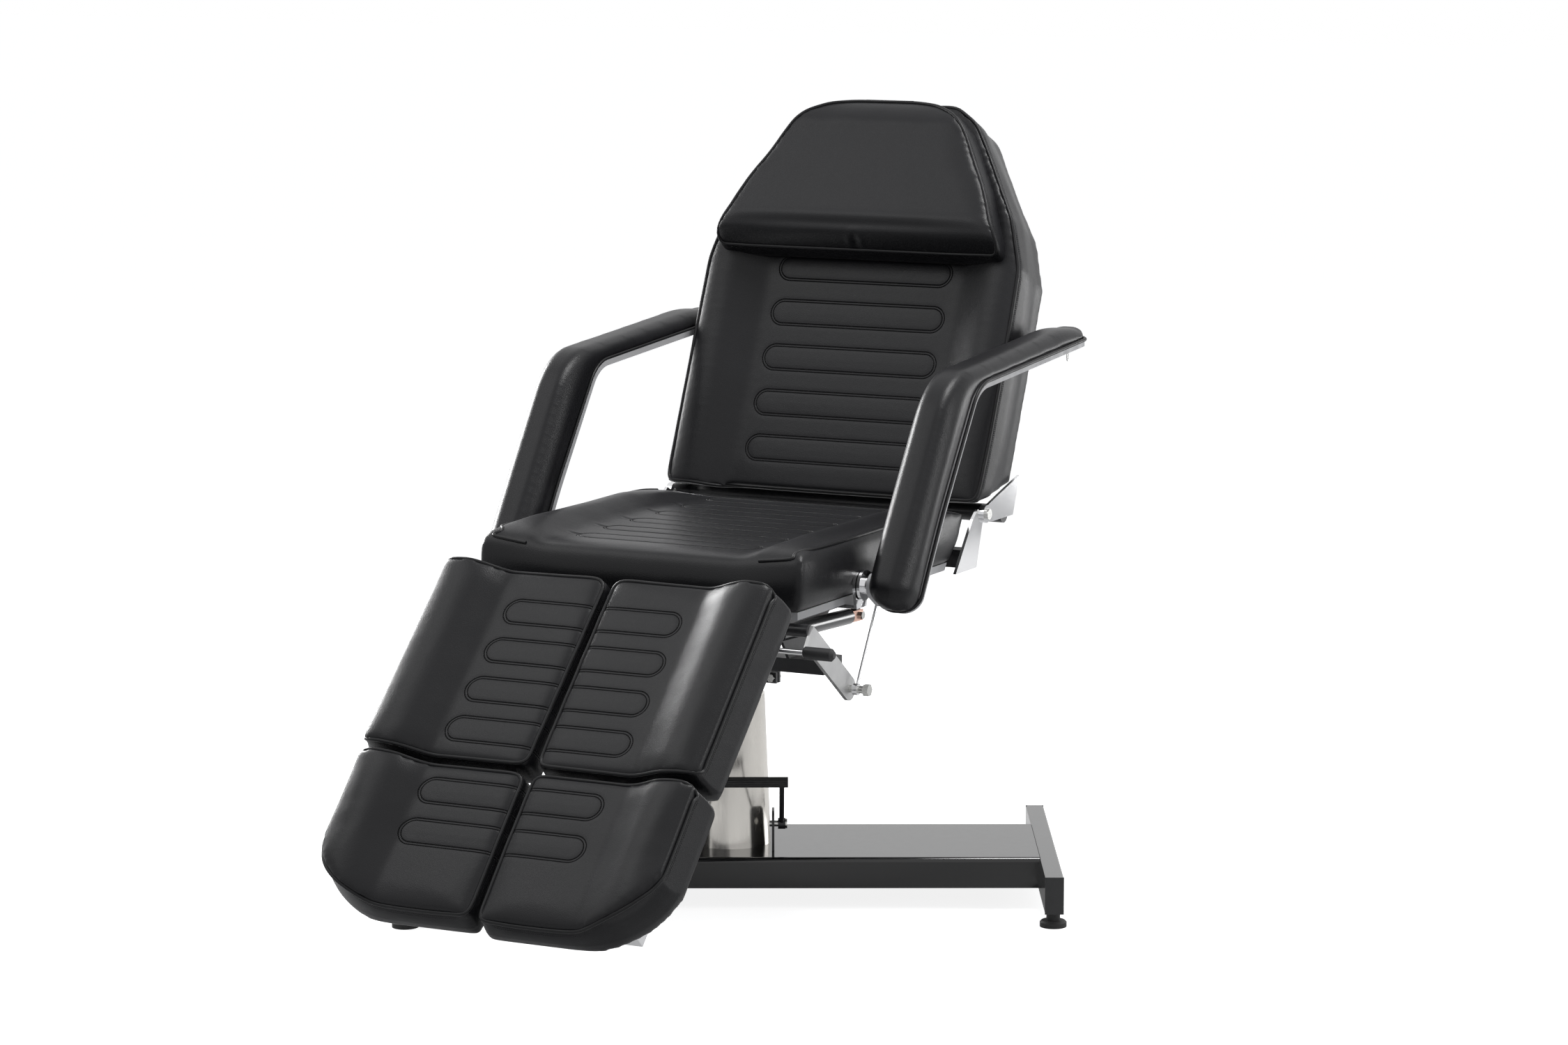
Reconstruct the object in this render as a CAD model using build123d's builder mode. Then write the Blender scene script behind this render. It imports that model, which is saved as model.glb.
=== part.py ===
"""Hydraulic treatment chair with split leg rests, folding back and padded arms.

All sizes are in millimetres. +Z is up, the sitter faces -Y, and the origin is
on the floor under the lift column.
"""
import os
from math import atan2, cos, degrees, hypot, radians, sin, tan

from build123d import *

os.makedirs("parts", exist_ok=True)

# Driving sizes of the chair
seat_width = 576.0
seat_half = seat_width / 2
seat_front_y = -315.0
seat_rear_top_y = 306.0
seat_rear_low_y = 240.0
seat_bottom_z = 520.0
seat_top_z = 612.0
board_thickness = 12.0

# Clearances shared by every fit
run_clearance = 0.05
soft_clearance = 0.3
cut_overrun = 20.0

# Base under the column, turned on its swivel
base_turn = 27.0
base_length = 1062.0
crossbar_length = 540.0
crossbar_width = 30.0
crossbar_height = 60.0
crossbar_wall = 2.5
cover_width = 262.0
cover_height = 50.0
cover_wall = 3.0
cover_edge_radius = 8.0
cover_rib_shares = (-0.4, 0.4)
crossbar_edge_radius = 3.0
foot_height = 25.0
foot_pad_radius = 21.5
foot_pad_height = 10.0
foot_neck_radius = 11.0
foot_inset = 24.0
foot_chamfer = 2.5
cap_thickness = 3.0
base_top_z = foot_height + crossbar_height
crossbar_x = (base_length - crossbar_width) / 2
cover_half_length = crossbar_x - crossbar_width / 2

# Lift column
pump_flange_radius = 60.0
pump_flange_height = 10.0
pump_body_radius = 45.0
pump_neck_radius = 36.0
pump_top_z = 325.0
pump_neck_height = 30.0
ram_radius = 26.0
ram_foot_height = 30.0
sleeve_low_radius = 66.5
sleeve_top_radius = 56.5
sleeve_top_z = 333.0
sleeve_wall = 2.0
sleeve_lip = 3.0
ram_shoulder_z = 353.0
hub_radius = 39.0
spigot_radius = 18.0
thrust_washer_height = 3.0
carrier_low_z = 382.0
carrier_height = 23.0
carrier_half_x = 187.0
carrier_half_y = 34.0
carrier_wall = 5.0
carrier_top_z = carrier_low_z + carrier_height
hub_low_z = ram_shoulder_z + thrust_washer_height
spigot_top_z = carrier_low_z + carrier_wall - thrust_washer_height

# Foot pedal
pedal_pivot_y = -52.0
pedal_pivot_z = 125.0
pedal_bar_y = -150.0
pedal_bar_z = 214.0
pedal_rod_radius = 4.0
pedal_arm_x = 84.0
pedal_rubber_radius = 8.6
pedal_rubber_half = 94.0
pedal_rib_radius = 1.1
pedal_rib_count = 14
pedal_hub_radius = 9.0
pedal_hub_length = 12.0
pedal_plate_x = 70.0
pedal_plate_thickness = 4.0
pedal_pin_head = 3.0
pedal_core_half = 90.0
pedal_plate_half_y = 24.0
pedal_plate_top = 24.0
pedal_pin_radius = 5.0
pedal_pin_inner_x = 64.0
pedal_pin_head_radius = 8.0

# Seat frame and head of the column
board_inset = 14.0
front_rail_half = seat_half - 88.0
rail_x = seat_half - 103.0
rail_size = 30.0
rail_wall = 2.5
rail_top_z = seat_bottom_z
rail_low_z = rail_top_z - rail_size
rail_front_y = -300.0
rear_tube_y = 290.0
cross_front_y = -80.0
cross_rear_y = 140.0
cheek_x = 120.0
cheek_thickness = 5.0
outrigger_y = -292.0
outrigger_z = 503.0
outrigger_radius = 10.0
side_plate_x = seat_half + 2.0
side_plate_thickness = 5.0
clamp_reach = 88.0
clamp_lug_width = 16.0
clamp_lug_height = 18.0
clamp_gap = 4.0
bolt_radius = 4.0
bolt_head_radius = 7.0
bolt_head_height = 5.0

# Back rest
back_hinge_y = 352.0
back_hinge_z = 601.0
back_face_y = 337.6
back_face_z = 614.0
back_angle = 66.5
back_half_width = seat_half + 2.0
back_length = 708.0
back_thickness = 118.0
back_corner_radius = 34.0
back_low_rise = 84.0
bracket_thickness = 5.0
back_tube_radius = 15.0
back_tube_depth = 96.0
back_tube_t = 16.0
back_rail_x = back_half_width - 140.0
back_rail_thickness = 8.0

# Head pillow
pillow_roll = 74.0
strap_half_width = 45.0
strap_thickness = 2.0
strap_drop = 150.0

# Stitched channels
channel_half = seat_half - 126.0
channel_height = 43.0
channel_seam = 3.0
channel_depth = 2.5
back_channel_pitch = 78.0
back_channel_first_t = 77.0
back_channel_count = 5
seat_channel_first_y = -210.0
seat_channel_pitch = 89.0
seat_channel_count = 6
calf_channel_first_s = 76.0
calf_channel_pitch = 77.0
calf_channel_count = 4
leg_channel_half = seat_half - 137.0
foot_channel_first_s = 51.0
foot_channel_pitch = 77.0
foot_channel_count = 2

# Leg rests
leg_face_y = -405.0
leg_face_z = 590.0
leg_angle = 46.3
calf_length = 352.0
foot_gap = 14.0
foot_length = 240.0
toe_radius = 120.0
calf_pad_thickness = 70.0
leg_top_inset = 4.0
leg_hinge_y = -332.4
leg_hinge_z = 509.6
hinge_tube_radius = 15.0
hinge_sleeve_wall = 4.0
lug_thickness = 6.0
leg_rail_size = 25.0
leg_rail_wall = 2.5
leg_rail_inner_x = 82.0
leg_rail_outer_x = 226.0
slide_bar_clearance = 0.4
foot_travel = 100.0
slide_overlap = 150.0

# Leg struts
strut_x = 160.0
strut_z = 453.0
strut_rear_y = 139.0
strut_radius = 13.0
strut_cylinder_length = 250.0
strut_rod_radius = 4.0
crank_reach = 40.0
crank_turn = 20.0
crank_x = 146.0
crank_thickness = 6.0
crank_pin_radius = 4.0
crank_eye_clearance = 3.5
crank_eye_width = 10.0
crank_pin_length = 22.0
crank_pin_collar = 3.0
crank_eye_wall = 4.0
hanger_x_width = 11.0
hanger_y_width = 14.0
clevis_cheek = 4.0
clevis_half_height = 9.0
clevis_length = 38.0

# Release levers
lever_y = -330.0
lever_z = 476.0
lever_pivot_x = rail_x + 11.0
lever_tip_x = seat_half + 64.0
lever_rod_radius = 4.5
grip_length = 52.0
grip_radius = 10.0
lever_pin_radius = 3.0
lever_bracket_gap = 10.0
lever_bracket_plate = 4.0
lever_hub_radius = 8.0
lever_bracket_half = 12.0
lever_bracket_drop = 5.0
lever_bracket_rear_y = -276.0
lever_fit = 0.1

# Arm rests
arm_inner_x = seat_half + 24.0
arm_width = 75.0
arm_pivot_y = -117.0
arm_pivot_z = 550.0
arm_board_thickness = 10.0
arm_edge_radius = 14.0
arm_board_line = ((-105.0, 511.0), (-13.0, 656.0), (124.0, 846.0), (578.0, 878.0))
arm_board_bends = (900.0, 75.0)
arm_pad_line = ((566.0, 893.0), (505.0, 899.0), (51.0, 867.0), (-155.0, 559.0))
arm_pad_bends = (400.0, 134.0)
arm_nose = (583.0, 884.0)
arm_toe = (-144.0, 525.0)
arm_end_radius = 30.0
arm_core_radius = 20.0
arm_web_points = ((-106.0, 567.0), (-128.0, 533.0), (-100.0, 515.0), (-78.0, 548.0))
arm_core_thickness = 10.0
arm_disc_radius = 24.0
arm_crank_x = side_plate_x + side_plate_thickness + 2.0
arm_crank_thickness = 5.0
arm_lift = 40.0
stay_x = arm_inner_x - 5.5
stay_foot_y = -160.0
stay_foot_z = 391.0
stay_reach = 52.0
stay_radius = 2.5
stay_nut_radius = 4.5
stay_nut_height = 5.0
stay_spare = 8.0
tab_thickness = 4.0
tab_slot = 11.0
tab_width = 14.0
bar_thickness = 6.0
bar_width = 38.0
bar_top_y = -301.0
bar_top_z = 496.0
stay_pin_radius = 6.0
stay_eye_radius = 9.0
stay_eye_width = 8.0

# Shapes of the side plates
ear_points = ((239.0, 515.0), (322.0, 515.0), (345.0, 587.0), (338.0, 606.0), (326.0, 612.0), (307.0, 598.0))
back_bracket_points = (
    (340.0, 609.0), (357.0, 616.0), (400.0, 628.0), (485.0, 650.0), (458.0, 586.0), (375.0, 586.0),
    (352.0, 588.0),
)
hinge_lobe_radius = 15.0
hinge_bolt_radius = 6.0
arm_strip_width = 36.0
arm_strip_thickness = 6.0
arm_stud_end_x = arm_inner_x - 5.0
arm_boss_radius = 14.0
stay_pin_low_x = side_plate_x - 6.0
stay_pin_high_x = side_plate_x + 40.0
stay_pin_nut_radius = 10.0
stay_pin_step = 3.0
stay_nut_width = 9.0
clevis_slot_length = 22.0
strut_bore_length = 205.0
strut_rod_inside = 195.0
grip_flat = 2.0
stay_end_clearance = 0.8
tab_lean = 16.2
tab_end_x = arm_inner_x - 0.5
tab_slot_width = 6.0

# Cushion cross-sections
seat_edge_in = 2.0
seat_low_in = 8.0
seat_edge_z = 616.0
seat_middle_z = 575.0
seat_valley_x = seat_half - 108.0
seat_bolster_x = seat_half - 50.0
seat_bolster_z = 634.0
seat_bolster_shoulder = (seat_half - 22.0, 631.0)
seat_rear_corner = (305.0, 603.0)
seat_crown = (20.0, 638.0)
seat_crown_front = (-285.0, 624.0)
seat_front_shoulder = (-301.0, 618.0)
seat_front_corner = (-311.0, 610.0)
seat_front_bulge = (-319.0, 575.0)
back_edge_in = 2.0
back_valley_depth = 6.0
back_valley_x = back_half_width - 108.0
back_bolster_x = back_half_width - 52.0
back_bolster_rise = 10.0
back_bolster_shoulder = (back_half_width - 24.0, 8.5)
back_outline = (
    (back_half_width, -10.0), (back_half_width, back_length - 296.0),
    (back_half_width - 28.0, back_length - 209.0), (back_half_width - 63.0, back_length - 154.0),
    (back_half_width - 104.0, back_length - 82.0), (back_half_width - 131.0, back_length - 33.0),
    (back_half_width - 178.0, back_length),
)
back_rail_points = (
    (130.0, 84.0), (130.0, back_length - 238.0), (154.0, back_length - 250.0), (154.0, 70.0),
    (112.0, 4.0), (84.0, 12.0), (104.0, 34.0),
)
pillow_low = (8.0, back_length - 276.0)
pillow_low_round = (-24.0, back_length - 289.0)
pillow_roll_low = (-54.0, back_length - 286.0)
pillow_roll_round = (-69.0, back_length - 276.0)
pillow_roll_front = (-73.0, back_length - 258.0)
pillow_roll_top = (-68.0, back_length - 218.0)
pillow_front_top = (-55.0, back_length - 68.0)
pillow_top_round = (-44.0, back_length - 20.0)
pillow_top_front = (-18.0, back_length - 1.0)
pillow_top = (8.0, back_length - 4.0)
pillow_outline = (
    (back_half_width - 18.0, back_length - 308.0), (back_half_width - 14.0, back_length - 276.0),
    (back_half_width - 19.0, back_length - 261.0), (back_half_width - 41.0, back_length - 220.0),
    (back_half_width - 64.0, back_length - 171.0), (back_half_width - 100.0, back_length - 113.0),
    (back_half_width - 130.0, back_length - 56.0), (back_half_width - 155.0, back_length - 30.0),
    (back_half_width - 190.0, back_length - 12.0), (back_half_width - 236.0, back_length - 2.0),
    (back_half_width - 260.0, back_length + 4.0),
)
strap_front = 20.0
pad_inner_x = 18.0
pad_outer_x = seat_half - 2.0
leg_inner_drop = 22.0
leg_inner_round = 12.0
leg_valley_depth = 8.0
leg_valley_x = pad_outer_x - 114.0
leg_edge_in = 1.0
leg_bolster_low = (pad_outer_x - 74.0, 8.0)
leg_bolster_top = (pad_outer_x - 38.0, 12.5)
leg_corner_radius = 16.0
leg_board_inset = 10.0
hinge_sleeve_low_x = 12.0
hinge_sleeve_high_x = front_rail_half - lug_thickness - 1.0
leg_rail_low_s = 5.0
leg_rail_high_s = 345.0
leg_bore_low_s = 62.0
leg_cross_places = (36.0, 300.0)
leg_cross_width = 24.0
slide_end_inset = 20.0

# Planes that carry the turned, leaning and hanging pieces
base_plane = Plane(
    origin=(0, 0, 0),
    x_dir=(cos(radians(base_turn)), sin(radians(base_turn)), 0),
    z_dir=(0, 0, 1),
)
back_up = (0, cos(radians(back_angle)), sin(radians(back_angle)))
back_out = (0, sin(radians(back_angle)), -cos(radians(back_angle)))
leg_down = (0, -cos(radians(leg_angle)), -sin(radians(leg_angle)))
leg_in = (0, sin(radians(leg_angle)), -cos(radians(leg_angle)))
sides = {"right": 1, "left": -1}


def save(piece, name):
    """Label one finished piece and write its file."""
    piece.label = name
    export_step(piece, "parts/" + name + ".step")


def save_pair(piece, name):
    """Write a right-hand piece and its mirror image as two pieces."""
    save(piece, name + "_right")
    save(mirror(piece, about=Plane.YZ), name + "_left")


def save_both(piece, name):
    """Write a right-hand piece and its mirror image as one group."""
    save(piece + mirror(piece, about=Plane.YZ), name)


def base_at(height):
    """Horizontal plane of the turned base at a height above the floor."""
    return base_plane.offset(height)


def side_plane(x):
    """Plane square to X whose sketch axes run along +Y and +Z."""
    return Plane(origin=(x, 0, 0), x_dir=(0, 1, 0), z_dir=(1, 0, 0))


def back_plane(depth):
    """Plane of the back rest: sketch X is the chair's X, sketch Y runs up the back."""
    return Plane(
        origin=(0, back_face_y + back_out[1] * depth, back_face_z + back_out[2] * depth),
        x_dir=(1, 0, 0),
        z_dir=(0, -back_out[1], -back_out[2]),
    )


def back_point(depth, rise):
    """Side view place, (y, z), of a point on the back rest."""
    return (
        back_face_y + back_out[1] * depth + back_up[1] * rise,
        back_face_z + back_out[2] * depth + back_up[2] * rise,
    )


def leg_plane(depth):
    """Plane of the leg rest: sketch X is the chair's X, sketch Y runs up the leg."""
    return Plane(
        origin=(0, leg_face_y + leg_in[1] * depth, leg_face_z + leg_in[2] * depth),
        x_dir=(1, 0, 0),
        z_dir=(0, -leg_in[1], -leg_in[2]),
    )


def leg_point(depth, run):
    """Side view place, (y, z), of a point on the leg rest."""
    return (
        leg_face_y + leg_in[1] * depth + leg_down[1] * run,
        leg_face_z + leg_in[2] * depth + leg_down[2] * run,
    )


def leg_section(run):
    """Plane across the leg: sketch X is the chair's X, sketch Y points out of the face."""
    y, z = leg_point(0, run)
    return Plane(origin=(0, y, z), x_dir=(1, 0, 0), z_dir=leg_down)


# Base
def make_base():
    """Two crossbars, the long cover between them, their end caps and the four feet."""
    with BuildPart() as crossbars:
        with BuildSketch(base_at(foot_height)):
            with Locations((crossbar_x, 0), (-crossbar_x, 0)):
                Rectangle(crossbar_width, crossbar_length)
        extrude(amount=crossbar_height)
        fillet(crossbars.edges().filter_by(lambda edge: edge.length > crossbar_length / 2),
               radius=crossbar_edge_radius)
        with BuildSketch(base_at(foot_height + crossbar_wall)):
            with Locations((crossbar_x, 0), (-crossbar_x, 0)):
                Rectangle(crossbar_width - 2 * crossbar_wall, crossbar_length)
        extrude(amount=crossbar_height - 2 * crossbar_wall, mode=Mode.SUBTRACT)
    save(crossbars.part, "crossbars")

    with BuildPart() as caps:
        for side in sides.values():
            for end in sides.values():
                with BuildSketch(base_at(foot_height)):
                    with Locations((side * crossbar_x,
                                    end * (crossbar_length + cap_thickness) / 2)):
                        Rectangle(crossbar_width, cap_thickness)
                extrude(amount=crossbar_height)
    save(caps.part, "crossbar_end_caps")

    cover_low_z = base_top_z - cover_height
    with BuildPart() as cover:
        with BuildSketch(base_at(cover_low_z)):
            Rectangle(2 * cover_half_length, cover_width)
        extrude(amount=cover_height)
        top_edges = cover.faces().sort_by(Axis.Z)[-1].edges()
        fillet(top_edges.filter_by(lambda edge: edge.length > cover_half_length),
               radius=cover_edge_radius)
        with BuildSketch(base_at(cover_low_z)):
            Rectangle(2 * cover_half_length, cover_width - 2 * cover_wall)
        extrude(amount=cover_height - cover_wall, mode=Mode.SUBTRACT)
        for share in cover_rib_shares:
            with BuildSketch(base_at(cover_low_z)):
                with Locations((0, share * cover_width / 2)):
                    Rectangle(2 * cover_half_length, cover_wall)
            extrude(amount=cover_height - cover_wall)
    save(cover.part, "base_cover")

    with BuildPart() as feet:
        for side in sides.values():
            for end in sides.values():
                place = (side * crossbar_x, end * (crossbar_length / 2 - foot_inset))
                with BuildSketch(base_at(0)):
                    with Locations(place):
                        Circle(foot_pad_radius)
                extrude(amount=foot_pad_height)
                with BuildSketch(base_at(foot_pad_height)):
                    with Locations(place):
                        Circle(foot_neck_radius)
                extrude(amount=foot_height - foot_pad_height)
        rims = feet.edges().filter_by(GeomType.CIRCLE).group_by(SortBy.RADIUS)[-1]
        chamfer(rims.group_by(Axis.Z)[-1], length=foot_chamfer)
    save(feet.part, "levelling_feet")


# Column
def make_column():
    """Pump body, tapered cover and the lift ram with its thrust washer."""
    bore_floor_z = base_top_z + pump_flange_height + ram_foot_height
    with BuildPart() as pump:
        with BuildSketch(base_at(base_top_z)):
            Circle(pump_flange_radius)
        extrude(amount=pump_flange_height)
        with BuildSketch(base_at(base_top_z + pump_flange_height)):
            Circle(pump_body_radius)
        extrude(amount=pump_top_z - pump_neck_height - base_top_z - pump_flange_height)
        with BuildSketch(base_at(pump_top_z - pump_neck_height)):
            Circle(pump_neck_radius)
        extrude(amount=pump_neck_height)
        with BuildSketch(base_at(bore_floor_z)):
            Circle(ram_radius + run_clearance)
        extrude(amount=pump_top_z - bore_floor_z, mode=Mode.SUBTRACT)
    save(pump.part, "pump_body")

    with BuildPart() as sleeve:
        with BuildSketch(Plane.XZ):
            with BuildLine():
                Polyline(
                    (sleeve_low_radius - sleeve_wall, base_top_z),
                    (sleeve_low_radius, base_top_z),
                    (sleeve_top_radius, sleeve_top_z),
                    (ram_radius + sleeve_lip, sleeve_top_z),
                    (ram_radius + sleeve_lip, sleeve_top_z - sleeve_wall),
                    (sleeve_top_radius - sleeve_wall, sleeve_top_z - sleeve_wall),
                    close=True,
                )
            make_face()
        revolve(axis=Axis.Z)
    save(sleeve.part, "column_sleeve")

    with BuildPart() as ram:
        with BuildSketch(Plane.XY.offset(bore_floor_z + sleeve_lip)):
            Circle(ram_radius)
        extrude(amount=ram_shoulder_z - bore_floor_z - sleeve_lip)
        with BuildSketch(Plane.XY.offset(ram_shoulder_z)):
            Circle(spigot_radius)
        extrude(amount=spigot_top_z - ram_shoulder_z)
    save(ram.part, "lift_ram")

    with BuildPart() as washer:
        with BuildSketch(Plane.XY.offset(ram_shoulder_z)):
            Circle(ram_radius)
            Circle(spigot_radius + run_clearance, mode=Mode.SUBTRACT)
        extrude(amount=thrust_washer_height)
    save(washer.part, "thrust_washer")


def base_point(x, y, z):
    """World place of a point given in the turned base's own axes."""
    return base_plane.from_local_coords((x, y, z))


def rod_between(start, end, radius):
    """Round rod from one point to another."""
    along = Vector(*end) - Vector(*start)
    with BuildPart() as rod:
        with BuildSketch(Plane(origin=start, z_dir=along)):
            Circle(radius)
        extrude(amount=along.length)
    return rod.part


def tube_along_x(low_x, high_x, y, z, radius, bore=0):
    """Round bar or tube along X."""
    with BuildPart() as tube:
        with BuildSketch(side_plane(low_x)):
            with Locations((y, z)):
                Circle(radius)
                if bore:
                    Circle(bore, mode=Mode.SUBTRACT)
        extrude(amount=high_x - low_x)
    return tube.part


def side_shape(points, low_x, high_x):
    """Plate whose outline is given in the side view."""
    with BuildPart() as plate:
        with BuildSketch(side_plane(low_x)):
            Polygon(*points, align=None)
        extrude(amount=high_x - low_x)
    return plate.part


def stadium_rings(plane, places, half_length, height):
    """Stitched channels: shallow stadium-shaped grooves cut from a face plane."""
    with BuildPart() as rings:
        with BuildSketch(plane):
            for place in places:
                with Locations((0, place)):
                    SlotOverall(2 * half_length, height)
                    SlotOverall(2 * half_length - 2 * channel_seam, height - 2 * channel_seam,
                                mode=Mode.SUBTRACT)
        extrude(amount=channel_depth, both=True)
    return rings.part


# Pedal
def make_pedal():
    """Plates and pins on the base, the bow that turns on them and its ribbed rubber bar."""
    plate_height = pedal_pivot_z + pedal_plate_top - base_top_z
    hub_end = pedal_arm_x + pedal_hub_length / 2
    pin_x = (pedal_pin_inner_x, hub_end + pedal_pin_head)
    pins = [rod_between(base_point(side * pin_x[0], pedal_pivot_y, pedal_pivot_z),
                        base_point(side * pin_x[1], pedal_pivot_y, pedal_pivot_z),
                        pedal_pin_radius) for side in sides.values()]
    heads = [rod_between(base_point(side * (hub_end + run_clearance), pedal_pivot_y, pedal_pivot_z),
                         base_point(side * pin_x[1], pedal_pivot_y, pedal_pivot_z),
                         pedal_pin_head_radius) for side in sides.values()]
    with BuildPart() as bracket:
        with BuildSketch(base_at(base_top_z)):
            with Locations((pedal_plate_x, pedal_pivot_y), (-pedal_plate_x, pedal_pivot_y)):
                Rectangle(pedal_plate_thickness, 2 * pedal_plate_half_y)
        extrude(amount=plate_height)
        top_corners = bracket.edges().filter_by(
            lambda edge: edge.length < pedal_plate_thickness + run_clearance)
        fillet(top_corners.group_by(Axis.Z)[-1], radius=pedal_plate_half_y / 2)
        add(pins, mode=Mode.SUBTRACT)
    save(bracket.part, "pedal_bracket")

    with BuildPart() as pin_set:
        add(pins)
        add(heads)
    save(pin_set.part, "pedal_pins")

    core = rod_between(base_point(-pedal_core_half, pedal_bar_y, pedal_bar_z),
                       base_point(pedal_core_half, pedal_bar_y, pedal_bar_z), pedal_rod_radius)
    arms = [rod_between(base_point(side * pedal_arm_x, pedal_pivot_y, pedal_pivot_z),
                        base_point(side * pedal_arm_x, pedal_bar_y, pedal_bar_z),
                        pedal_rod_radius) for side in sides.values()]
    hubs = [rod_between(base_point(side * (hub_end - pedal_hub_length), pedal_pivot_y, pedal_pivot_z),
                        base_point(side * hub_end, pedal_pivot_y, pedal_pivot_z),
                        pedal_hub_radius) for side in sides.values()]
    bore = rod_between(base_point(-hub_end - cut_overrun, pedal_pivot_y, pedal_pivot_z),
                       base_point(hub_end + cut_overrun, pedal_pivot_y, pedal_pivot_z),
                       pedal_pin_radius + run_clearance)
    with BuildPart() as bow:
        add(core)
        add(arms)
        add(hubs)
        add(bore, mode=Mode.SUBTRACT)
    save(bow.part, "pedal_bow")

    with BuildPart() as rubber:
        with BuildSketch(Plane(origin=base_point(0, pedal_bar_y, pedal_bar_z),
                               x_dir=base_plane.y_dir, z_dir=base_plane.x_dir)):
            Circle(pedal_rubber_radius - pedal_rib_radius)
            with PolarLocations(pedal_rubber_radius - pedal_rib_radius, pedal_rib_count):
                Circle(pedal_rib_radius)
        extrude(amount=pedal_rubber_half, both=True)
        add(core, mode=Mode.SUBTRACT)
        add(arms, mode=Mode.SUBTRACT)
    save(rubber.part, "pedal_rubber")


# Head of the column
def make_head():
    """Hub on the ram with its pinch clamp, and the channel-shaped carrier."""
    bolt_x = clamp_reach - clamp_lug_width / 2
    bolt_z = hub_low_z + clamp_lug_height / 2
    half_bolt = clamp_lug_width / 2 + bolt_head_height
    bolt = rod_between((bolt_x, -half_bolt, bolt_z), (bolt_x, half_bolt, bolt_z), bolt_radius)
    with BuildPart() as head:
        with BuildSketch(Plane.XY.offset(carrier_low_z)):
            Rectangle(2 * carrier_half_x, 2 * carrier_half_y)
        extrude(amount=carrier_height)
        with BuildSketch(Plane.XY.offset(carrier_low_z)):
            Rectangle(2 * (carrier_half_x - carrier_wall), 2 * (carrier_half_y - carrier_wall))
        extrude(amount=carrier_height - carrier_wall, mode=Mode.SUBTRACT)
        with BuildSketch(Plane.XY.offset(hub_low_z)):
            Circle(hub_radius)
        extrude(amount=carrier_top_z - hub_low_z)
        with BuildSketch(Plane.XY.offset(hub_low_z)):
            with Locations((clamp_reach / 2, 0)):
                Rectangle(clamp_reach, clamp_lug_width)
        extrude(amount=clamp_lug_height)
        with BuildSketch(Plane.XY.offset(hub_low_z)):
            with Locations((clamp_reach / 2 + cut_overrun, 0)):
                Rectangle(clamp_reach, clamp_gap)
        extrude(amount=clamp_lug_height, mode=Mode.SUBTRACT)
        with BuildSketch(Plane.XY.offset(hub_low_z)):
            Circle(spigot_radius + run_clearance)
        extrude(amount=spigot_top_z + run_clearance - hub_low_z, mode=Mode.SUBTRACT)
        add(bolt, mode=Mode.SUBTRACT)
    save(head.part, "swivel_head")

    with BuildPart() as clamp_bolt:
        add(bolt)
        for side in sides.values():
            with BuildSketch(Plane.XZ.offset(-side * clamp_lug_width / 2)):
                with Locations((bolt_x, bolt_z)):
                    RegularPolygon(bolt_head_radius, 6)
            extrude(amount=-side * bolt_head_height)
    save(clamp_bolt.part, "clamp_bolt")


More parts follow.
